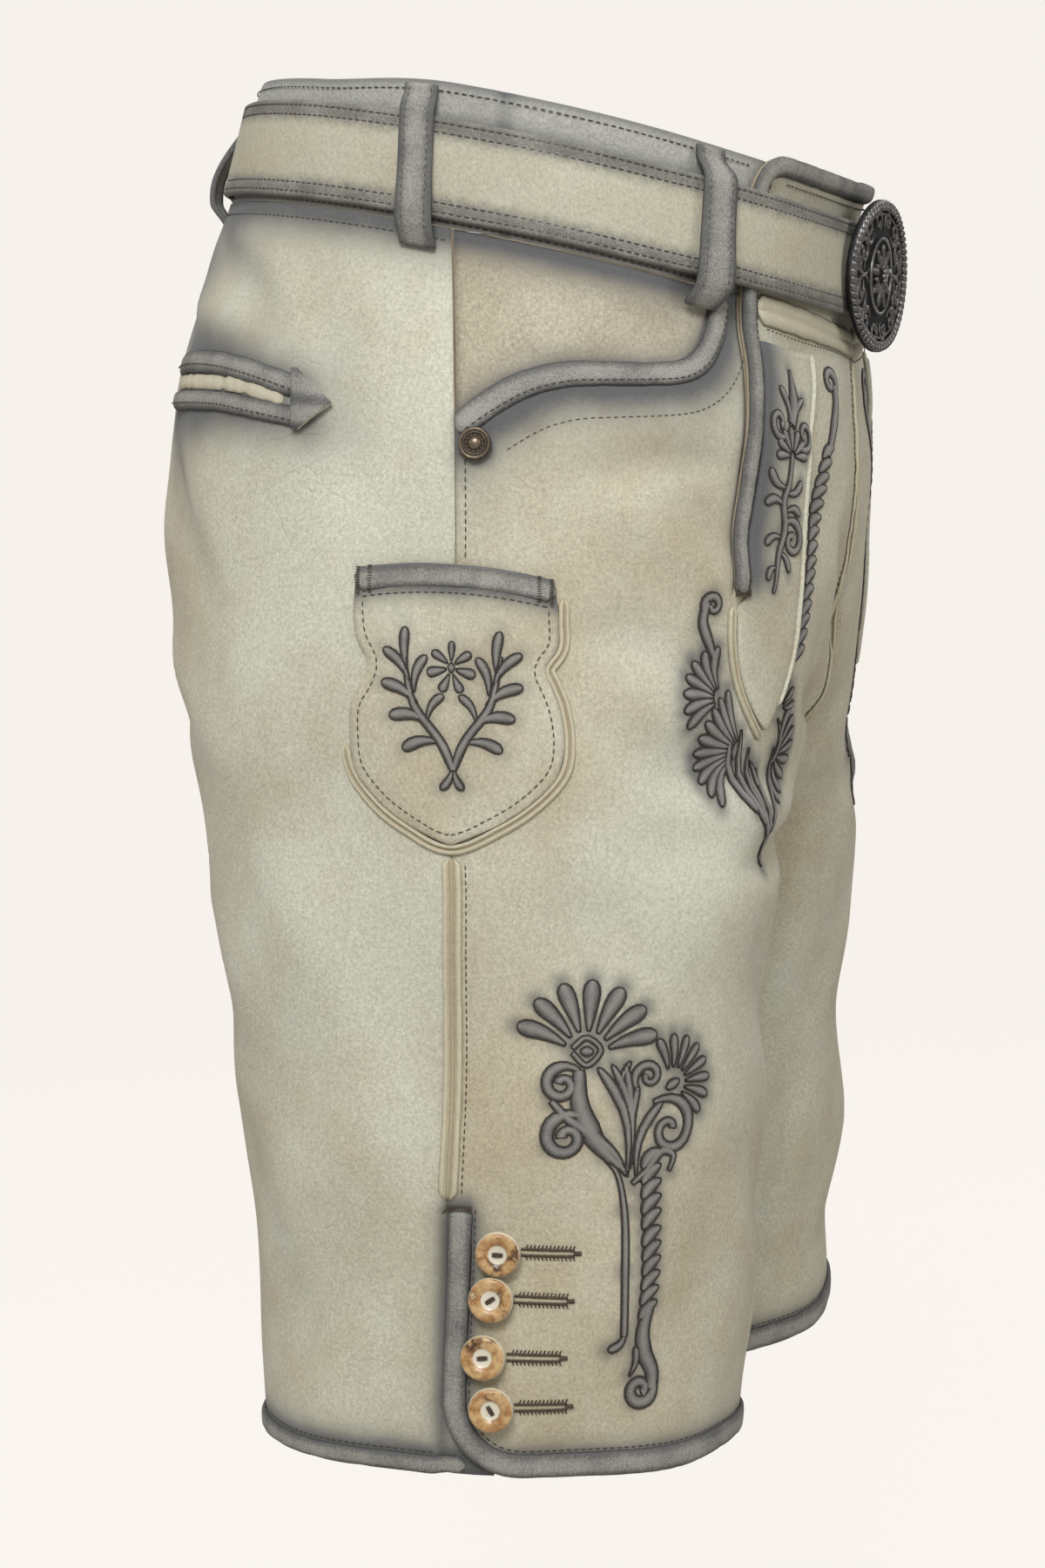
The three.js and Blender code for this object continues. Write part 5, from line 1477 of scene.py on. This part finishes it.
class Motif:
    """Embroidered leaves, petals and scrolls on one surface: each a domed fill with a dark outline."""

    def __init__(self, heap, place, outline_radius=0.5, height=0.75):
        self.heap, self.place = heap, place
        self.outline, self.height = outline_radius, height
        self.middles = []

    def leaf(self, middle, half):
        middle = np.asarray(middle, float)
        half = np.maximum(half, 0.12)
        b = np.array([-1, -0.66, 0, 0.66, 1.0])
        across = sideways(middle)
        at = middle[:, None, :] + across[:, None, :] * (half[:, None] * b)[..., None]
        crown = self.height * np.minimum(1, half / 1.4)[:, None] * (1 - b**2) ** 0.6
        # shade runs from 0 down the middle to 1 at the edge; the silk finish turns it into painted shade at the edges
        # and a painted highlight in the middle.
        shade = np.abs(b)[None, :] + 0 * crown
        if self.outline is None:
            shade = 0.25 + 0.7 * (1 - b**2)[None, :] + 0 * crown
        self.heap.add(self.place(at[..., 0], at[..., 1], crown + 0.05), cells(len(middle), 5), 0, shade.ravel(),
                      (run(middle)[:, None] * np.ones(5)).ravel())
        if self.outline is not None:
            edge = np.vstack([at[:, 0], at[::-1, 4]])
            edge = edge[np.r_[True, np.linalg.norm(np.diff(edge, axis=0), axis=1) > 0.15]]
            cord_on(self.heap, self.place, edge, self.outline, 5, True, 0.15, 1)
        self.middles.extend(middle[:: max(len(middle) // 3, 1)].tolist())

    def petal(self, start, end, half, bend=0.0, count=10, tip=1.7):
        start, end = np.asarray(start, float), np.asarray(end, float)
        t = 0.5 - 0.5 * np.cos(math.pi * np.linspace(0, 1, count))
        along = end - start
        side = np.array([-along[1], along[0]])
        middle = start + along * t[:, None] + side * (bend * np.sin(math.pi * t))[:, None]
        drop = 1.12 * (0.12 + 0.88 * t**0.9) * np.sqrt(1 - t**5)
        self.leaf(middle, half * (drop if tip > 1.3 else np.sin(math.pi * t) ** 0.65))

    def fan(self, centre, inner, outer, first, last, count, half, bend=0.0):
        for i, angle in enumerate(np.radians(np.linspace(first, last, count))):
            direction = np.array([math.cos(angle), math.sin(angle)])
            lean = bend * (2 * i / max(count - 1, 1) - 1)
            self.petal(np.array(centre) + direction * inner, np.array(centre) + direction * outer, half, lean)

    def curl(self, start, centre, turns, half_start, half_end):
        """A scroll that winds in from start round centre: plus turns are to the left."""
        start, centre = np.array(start, float), np.array(centre, float)
        radius = np.linalg.norm(start - centre)
        first = math.atan2(*(start - centre)[::-1])
        count = int(10 + 14 * abs(turns))
        t = np.linspace(0, 1, count)
        angle = first + t * turns * 2 * math.pi
        reach = mix(radius, max(half_end * 1.2, 1.0), t**0.8)
        middle = centre + np.column_stack([np.cos(angle), np.sin(angle)]) * reach[:, None]
        half = mix(half_start, half_end, t) * np.minimum(1, 0.35 + 4 * t)
        half = half * (1 + 0.5 * bell(t - 1, 0.09))
        self.leaf(middle, half)

    def stroke(self, points, half_start, half_middle, half_end, spacing=2.0):
        middle = curve(points, spacing)
        t = np.linspace(0, 1, len(middle))
        half = np.interp(t, [0, 0.5, 1], [half_start, half_middle, half_end])
        self.leaf(middle, half)

    def rope(self, points, count, half, flip=1):
        """Leaves that lie over each other in a twisted column."""
        path = curve(points, 1.0)
        across = sideways(path)
        for share in np.linspace(0.02, 0.98, count):
            i = int(share * (len(path) - 1))
            step = unit(path[min(i + 1, len(path) - 1)] - path[max(i - 1, 0)])
            pitch = run(path)[-1] / count
            start = path[i] - across[i] * half * flip + step * pitch * 0.62
            end = path[i] + across[i] * half * flip - step * pitch * 0.62
            self.petal(start, end, pitch * 0.46, 0.14 * flip, 9, 1.2)


def thigh_motif(heap, side):
    m = Motif(heap, on_leather(side, 0.1))
    m.fan((52, -331), 9, 29, 158, 12, 7, 4.2, 0.06)
    m.stroke([(46.5, -329), (52, -325), (57.5, -330), (52, -336), (46.5, -331)], 1.0, 1.0, 1.0, 1.5)
    m.petal((49.6, -330.4), (54.6, -330.4), 1.9, 0, 8, 1.0)
    m.fan((88.5, -345), 6.5, 19.5, 112, -42, 8, 2.4, 0.05)
    m.petal((85.5, -347), (91.5, -344), 2.0, 0, 8, 1.0)
    m.curl((49, -338), (42.5, -343.5), 1.3, 2.4, 1.3)
    m.curl((52, -357), (44.5, -364.5), 1.35, 2.8, 1.5)
    m.stroke([(38.5, -350), (45, -357), (55, -364), (64, -372), (69, -380)], 1.2, 2.4, 0.8)
    m.stroke([(49, -338), (49.5, -352), (56, -366), (68.5, -379)], 2.2, 4.4, 0.8)
    m.petal((69.5, -381), (56.5, -337), 2.6, -0.12)
    m.petal((70.5, -378), (62, -336), 2.1, -0.1)
    m.petal((71.5, -376), (67.5, -336), 1.9, -0.03)
    m.petal((72, -372), (73, -345), 1.9, 0.06)
    m.petal((66, -352), (69.5, -335), 1.4, 0.12)
    m.petal((69, -362), (72, -352), 1.5, 0.1)
    m.petal((73.5, -381), (84, -352), 2.4, 0.14)
    m.curl((73, -347), (77.5, -341.5), -1.2, 1.9, 1.0)
    m.curl((80, -352), (88, -363.5), -1.3, 2.6, 1.2)
    m.stroke([(72, -384), (78, -379), (84, -372), (90, -374), (88, -380)], 0.8, 2.0, 0.6)
    m.stroke([(60, -373), (66, -381), (69.3, -398), (70, -424), (70.8, -445)], 0.7, 1.35, 1.3)
    m.petal((71.2, -443), (64.5, -450.5), 2.2, 0.2)
    m.rope([(80, -374), (81, -398), (82, -420), (81.5, -438)], 11, 4.0)
    m.stroke([(82, -434), (79.5, -444), (81, -453), (85, -461), (85, -468)], 2.4, 3.4, 2.8)
    m.curl((85.5, -464), (79.5, -468), -1.25, 2.9, 1.5)
    m.petal((74.5, -462), (76.5, -450), 1.8, -0.12)
    return m


def tongue_wings(heap, side):
    """Fans either side of the tongue's point, a hooked scroll above and a pointed leaf below."""
    def place(u, z, height):
        return on_body(side, u, z, 0.1 + height)
    m = Motif(heap, place)
    m.stroke([(112, -181), (106, -172), (101.5, -163), (103, -155)], 0.8, 2.2, 1.9)
    m.curl((101.8, -160), (106.2, -156.5), -1.1, 2.0, 1.0)
    m.fan((113, -194), 4, 21, 212, 96, 7, 2.9, 0.1)
    m.fan((127, -216), 4, 26, 236, 108, 10, 2.9, 0.1)
    m.petal((121, -203), (136, -242), 3.2, -0.14)
    m.petal((128, -208), (144, -248), 3.2, -0.12)
    m.petal((135, -216), (150, -253), 3.0, -0.1)
    m.petal((145, -226), (153.5, -266), 4.0, 0.02)
    m.petal((158, -218), (154.5, -252), 2.4, 0.12)
    m.fan((160, -222), 4, 21, 70, -70, 8, 2.7, -0.1)
    m.petal((157, -206), (161, -226), 2.2, 0.18)
    m.fan((157, -202), 4, 14, 95, 10, 4, 2.0, -0.1)
    m.petal((138, -222), (146, -234), 1.9, 0.1)
    return m


def strip_sprig(heap, side):
    """A flowering sprig up the flap's strip."""
    m = Motif(heap, on_flap(side, 2 * GAP + 1.6), 0.42)
    m.stroke([(91, -78), (87, -68), (88.5, -54)], 3.4, 3.8, 0.5)
    m.petal((92, -80), (98.5, -62), 2.6, 0.14)
    m.petal((89, -80), (79, -66), 2.4, -0.14)
    m.curl((95, -82), (101.5, -78), 1.1, 1.9, 1.3)
    m.curl((88, -86), (80.5, -82), -1.1, 1.9, 1.3)
    m.fan((92.5, -92), 2, 12.5, 0, 180, 7, 2.6)
    m.stroke([(93, -92), (96, -104), (100, -112), (99, -124), (104, -136), (109, -151)], 1.3, 2.1, 0.8)
    m.petal((98, -106), (109.5, -98), 2.9, -0.18)
    m.petal((98.5, -108), (85.5, -103), 2.8, 0.2)
    m.petal((100, -114), (112.5, -113), 2.8, 0.2)
    m.petal((99, -117), (87, -118), 2.5, -0.2)
    m.curl((100.5, -122), (93.5, -129), 1.2, 2.4, 1.3)
    m.petal((101.5, -128), (112, -131), 2.4, 0.2)
    m.petal((104, -134), (97, -143), 2.2, -0.2)
    m.petal((106, -141), (113.5, -146), 2.0, 0.2)
    return m


def flap_rope(heap, side):
    m = Motif(heap, on_flap(side, 0.1), 0.42)
    m.stroke([(54, -90), (48.5, -79), (44, -66), (44.5, -57)], 2.2, 3.6, 2.6)
    m.curl((43.5, -62), (48.5, -56), -0.95, 2.8, 1.5)
    m.rope([(53, -88), (60, -108), (68, -132), (76, -158), (81, -181)], 15, 4.4, -1)
    return m


def pocket_sprig(heap):
    """Two oak twigs crossed under a small star flower."""
    m = Motif(heap, on_leather(RIGHT, GAP + TRIM + 1.35), 0.45)
    for way in (1, -1):
        m.stroke([(0, -220), (6 * way, -208), (15 * way, -196), (19 * way, -178)], 1.5, 1.5, 0.5)
        m.petal((5 * way, -210), (19 * way, -213), 2.7, 0.12 * way)
        m.petal((9 * way, -203), (24 * way, -201), 2.7, 0.12 * way)
        m.petal((13.5 * way, -196), (27 * way, -189), 2.6, 0.1 * way)
        m.petal((16.5 * way, -188), (26.5 * way, -177), 2.3, 0.1 * way)
        m.petal((17.5 * way, -184), (18.5 * way, -169), 2.3, 0.05)
        m.petal((14.5 * way, -192), (10 * way, -179), 2.3, -0.12 * way)
        m.petal((9.5 * way, -202), (3.5 * way, -193), 2.0, -0.12 * way)
    m.fan((0, -183), 2.6, 9.5, 90, 90 + 308, 7, 2.1)
    m.petal((-1.7, -183), (1.7, -183), 1.8, 0, 7, 1.0)
    m.petal((0, -219), (-4.5, -227), 1.7, 0.1)
    m.petal((0, -219), (4.5, -227), 1.7, -0.1)
    return m


motifs = {}
sprig_middles, pocket_middles = [], []
for side in SIDES:
    thigh, front, edge = Heap(), Heap(), Heap()
    leg = thigh_motif(thigh, side)
    wings = tongue_wings(front, side)
    sprig = strip_sprig(edge, side)
    flap_rope(front, side)
    motifs[f"thigh_embroidery_{SIDES[side]}"] = thigh
    motifs[f"flap_embroidery_{SIDES[side]}"] = front
    motifs[f"strip_embroidery_{SIDES[side]}"] = edge
    if side == RIGHT:
        halos = leg.middles + wings.middles
        sprig_middles = sprig.middles
motifs["knife_pocket_embroidery"] = Heap()
pocket_middles = pocket_sprig(motifs["knife_pocket_embroidery"]).middles
for name, heap in motifs.items():
    fit(heap.make(name, [satin, outline]), "embroidery")

# ---- Making the pieces ----

knife_pocket()
for side in SIDES:
    front_panel(side)
    under_flap(side)
    pocket_facing(side)
    back_panel(side)
    waistband(side)
    flap_band(side)
    flap_strip(side)
    strip_ridge(side)
    tongue_piping(side)
    centre_piping(side)
    pocket_binding(side)
    pocket_rivet(side)
    back_pocket(side)
    side_piping(side)
    slit_binding(side)
    back_hem_binding(side)
    for number, ((z, u), turn) in enumerate(zip(BUTTONS, (0.0, 0.6, 0.1, -1.0)), start=1):
        horn_button(side, number, z, u, turn)
    for name, middle in LOOPS.items():
        belt_loop(side, name, middle)
flap_binding()
belt()
buckle()
upright_x = (BELT_TIP + BELT_FOLD) / 2
high, low = 23.5, -19.5
hook, foot, prong = on_plate(upright_x, high, -0.8), on_plate(upright_x, low, -0.8), on_plate(-BELT_TIP, 0, -0.8)
post = [(upright_x, BUCKLE_UPRIGHT - side_step, BUCKLE_DROP + height) for side_step, height in
        ((1, high), (0, high - 2), (0, low + 2), (1, low))]
buckle_wire("buckle_loop_wire", "buckle_loop", [hook, *post, foot], 1.1)
buckle_wire("buckle_prong_wire", "buckle_prong", [prong, prong + [0, 1.3, 0]], 1.1)


# ---- Stitching ----


def belt_face(side):
    return lambda u, z, height: on_belt(side, u, z, BELT_WALL - 0.25 + height)


def seam_rows(side):
    """Every row of stitches on one side, as where it lies and its path."""
    leather, flap = on_leather(side), on_flap(side, 0.0)
    band_top = on_leather(side, 0.15)
    low, high = GAP - float(back_length(0)), float(front_length(0))
    low_top = GAP - float(back_length(24))
    rows = []
    for z in (BELT_LOW + 2.2, BELT_LOW + 5.9, BELT_HIGH - 2.2, BELT_HIGH - 5.9):
        last = high if side == RIGHT else high - BELT_FOLD - 2
        rows.append((belt_face(side), [(low + 1, z), (last, z)]))
    rows.append((lambda u, z, height: band_top(u, z - waist_drop(u, z), height), [(low_top + 4, 25.2), (high - 104, 25.2)]))
    rows.append((leather, [(low + 2, -24.3), (high - 114, -24.3)]))
    rows.append((leather, [(low + 2, -31), (-2, -31)]))
    rows.append((on_leather(side, -2.1), [(2, -31), (104, -31)]))
    binding = curve(np.column_stack([POCKET_MOUTH["u"], POCKET_MOUTH["z"]]), 3)
    rows.append((on_leather(side, GAP + 1.5), beside(binding, -2.6)[1:-2]))
    rows.append((on_leather(side, -0.12), beside(binding, -16.5)[4:-4]))
    heights = np.linspace(20, FLAP_TACK + 2, 40)
    rows.append((on_flap(side, 2 * GAP), np.column_stack([flap_edge(heights) - 8.8, heights])))
    rows.append((on_flap(side, 2 * GAP), [(84, 21.2), (2, 21.2)]))
    rows.append((on_flap(side, 2 * GAP + 0.6), [(100, -38), (80, -38.5), (55, -40), (30, -42), (2, -43.8)]))
    rows.append((flap, [(6.2, -46), (6.2, -250)]))
    for path in (UPPER_WELT, LOWER_WELT):
        rows.append((on_leather(side, GAP + 2.5), beside(curve(path, 3), -1.2)))
    rows.append((leather, [(5.4, -256), (5.4, SLIT_TOP + 4)]))
    rows.append((leather, slit_path(SLIT_BINDING_WIDTH + 0.9)))
    rows.append((leather, [(-3, HEM + 8.6), (1.5 - float(back_length(HEM)), HEM + 8.6)]))
    rows.append((leather, [(4, -104), (4, -143)]))
    return rows


def bar_tack(heap, place, centre, direction, length, width, count):
    """A short bar of stitches packed side by side."""
    direction = np.array(direction, float)
    across = np.array([-direction[1], direction[0]])
    for share in np.linspace(-0.5, 0.5, count):
        middle = np.array(centre) + direction * share * length
        path = np.array([middle - across * width / 2, middle + across * width / 2])
        cord_on(heap, place, np.vstack([path[0], path.mean(0), path[1]]), 0.3, 5, height=0.15)


for side in SIDES:
    rows = Heap()
    for place, path in seam_rows(side):
        stitches(rows, place, path)
    for name, middle in LOOPS.items():
        def loop_face(across, z, height, side=side, name=name, middle=middle):
            return on_loop(side, name, middle, across, z, height)
        for offset in (-4.4, 4.4):
            stitches(rows, loop_face, [(offset, 26), (offset, -33)])
    if side == RIGHT:
        stitches(rows, on_knife_pocket, knife_outline(3.8, -160))
        span = np.linspace(-36, 36, 24)
        under = np.column_stack([span, -149 + 4 * (1 - (span / 38) ** 2) - 10.6])
        stitches(rows, on_knife_pocket, under)
    fit(rows.make(f"seam_stitches_{SIDES[side]}", [seam_thread]), "thread")

    work = Heap()
    leather = on_leather(side)
    bar_tack(work, on_flap(side, 2 * GAP + 1.5), (float(flap_edge(FLAP_TACK)) - 4, FLAP_TACK + 1), (1, 0), 8, 3, 9)
    bar_tack(work, on_leather(side, TRIM), (5, SLIT_TOP - 1), (1, 0), 9, 2.4, 12)
    if side == RIGHT:
        for u in (-37, -32.5, 32.5, 37):
            z = -153.5 + 4 * (1 - (u / 38) ** 2)
            bar_tack(work, on_leather(RIGHT, TRIM + 2 * GAP + 1.2), (u, z), (0, 1), 9, 1.5, 11)
    for z, u in BUTTONS:
        for edge in (-1, 1):
            line = even([(u + 8.5, z + 1.3 * edge), (u + 29, z + 1.2 * edge)], 1.4)
            cord_on(work, leather, line, 0.55, 6, height=0.25)
            for tooth in np.linspace(u + 10.5, u + 28.5, 13):
                path = np.array([[tooth, z + 1.4 * edge], [tooth + 0.2, z + 2.2 * edge], [tooth + 0.6, z + 3.0 * edge]])
                cord_on(work, leather, path, 0.3, 5, height=0.15)
        knob = even([(u + 28.5, z), (u + 31.5, z)], 0.6)
        cord_on(work, leather, knob, 0.9, 6, height=0.3)
    fit(work.make(f"buttonholes_and_tacks_{SIDES[side]}", [bar_thread]), "thread")

# ---- Floor, lights and camera ----

FLOOR = -0.86


def studio():
    floor_paint = bpy.data.materials.new("cream_floor")
    floor_paint.use_nodes = True
    tree = floor_paint.node_tree
    tree.nodes.clear()
    g = Graph(tree)
    cream = rgb(0.938, 0.896, 0.847)
    speckle = g.noise(g.place(), 3.0, 2.0, 0.5)
    tone = g.mix(g.calc("MULTIPLY", speckle, 0.03), cream, rgb(0.9, 0.86, 0.81))
    glow = g.node("Emission", {}, {"Color": tone, "Strength": 0.94})
    paper = g.node("BsdfDiffuse", {}, {"Color": rgb(0.55, 0.53, 0.5)})
    seen = g.node("LightPath", output="Is Camera Ray")
    both = g.node("AddShader", {}, {0: g.node("BsdfDiffuse", {}, {"Color": rgb(0.1, 0.096, 0.09)}), 1: glow})
    final = g.node("MixShader", {}, {0: seen, 1: paper, 2: both})
    output = tree.nodes.new("ShaderNodeOutputMaterial")
    tree.links.new(final, output.inputs["Surface"])
    bm = bmesh.new()
    profile = [(0.0, FLOOR), (2.4, FLOOR), (3.0, FLOOR + 0.1), (3.5, FLOOR + 0.5), (3.7, FLOOR + 1.3), (3.75, 2.6)]
    ring = [bm.verts.new((r, 0, h)) for r, h in profile]
    edges = [bm.edges.new(pair) for pair in zip(ring[:-1], ring[1:])]
    bmesh.ops.spin(bm, geom=ring + edges, cent=(0, 0, 0), axis=(0, 0, 1), angle=2 * math.pi, steps=64, use_merge=True)
    bmesh.ops.remove_doubles(bm, verts=bm.verts, dist=1e-5)
    bmesh.ops.recalc_face_normals(bm, faces=bm.faces)
    mesh = bpy.data.meshes.new("cream_backdrop")
    bm.to_mesh(mesh)
    bm.free()
    keep_object("cream_backdrop", mesh, [floor_paint])


def softbox(name, location, target, size, power):
    lamp = bpy.data.lights.new(name, "AREA")
    lamp.shape = "DISK"
    lamp.size = size
    lamp.energy = power
    made = bpy.data.objects.new(name, lamp)
    bpy.context.scene.collection.objects.link(made)
    made.location = location
    made.rotation_euler = (Vector(target) - Vector(location)).to_track_quat("-Z", "Y").to_euler()


studio()
AIM = (0.0, 0.0, -0.25)
softbox("key_light", (-1.78, -0.2, 1.05), AIM, 0.9, 31)
softbox("front_light", (-0.6, -2.1, 0.7), AIM, 1.1, 12.5)
softbox("back_light", (-0.4, 2.2, 0.6), AIM, 1.2, 9)
softbox("far_light", (2.2, -0.3, 0.6), AIM, 1.4, 9)
softbox("top_light", (0.0, 0.0, 1.9), AIM, 1.2, 12)
world = bpy.data.worlds.new("studio_air")
world.use_nodes = True
world.node_tree.nodes["Background"].inputs["Color"].default_value = (1.0, 0.975, 0.94, 1)
world.node_tree.nodes["Background"].inputs["Strength"].default_value = 0.3
bpy.context.scene.world = world
bpy.context.scene.view_settings.view_transform = "Standard"

camera = bpy.data.cameras.new("camera")
camera.lens = 75.93
camera.sensor_width = 36
view_point = bpy.data.objects.new("camera", camera)
bpy.context.scene.collection.objects.link(view_point)
view_point.location = (-1.3874, -0.35595, -0.0715)
aim = Vector((-0.00395, 0.01474, -0.2481)) - view_point.location
view_point.rotation_euler = aim.to_track_quat("-Z", "Y").to_euler()
bpy.context.scene.camera = view_point

bpy.context.view_layer.update()
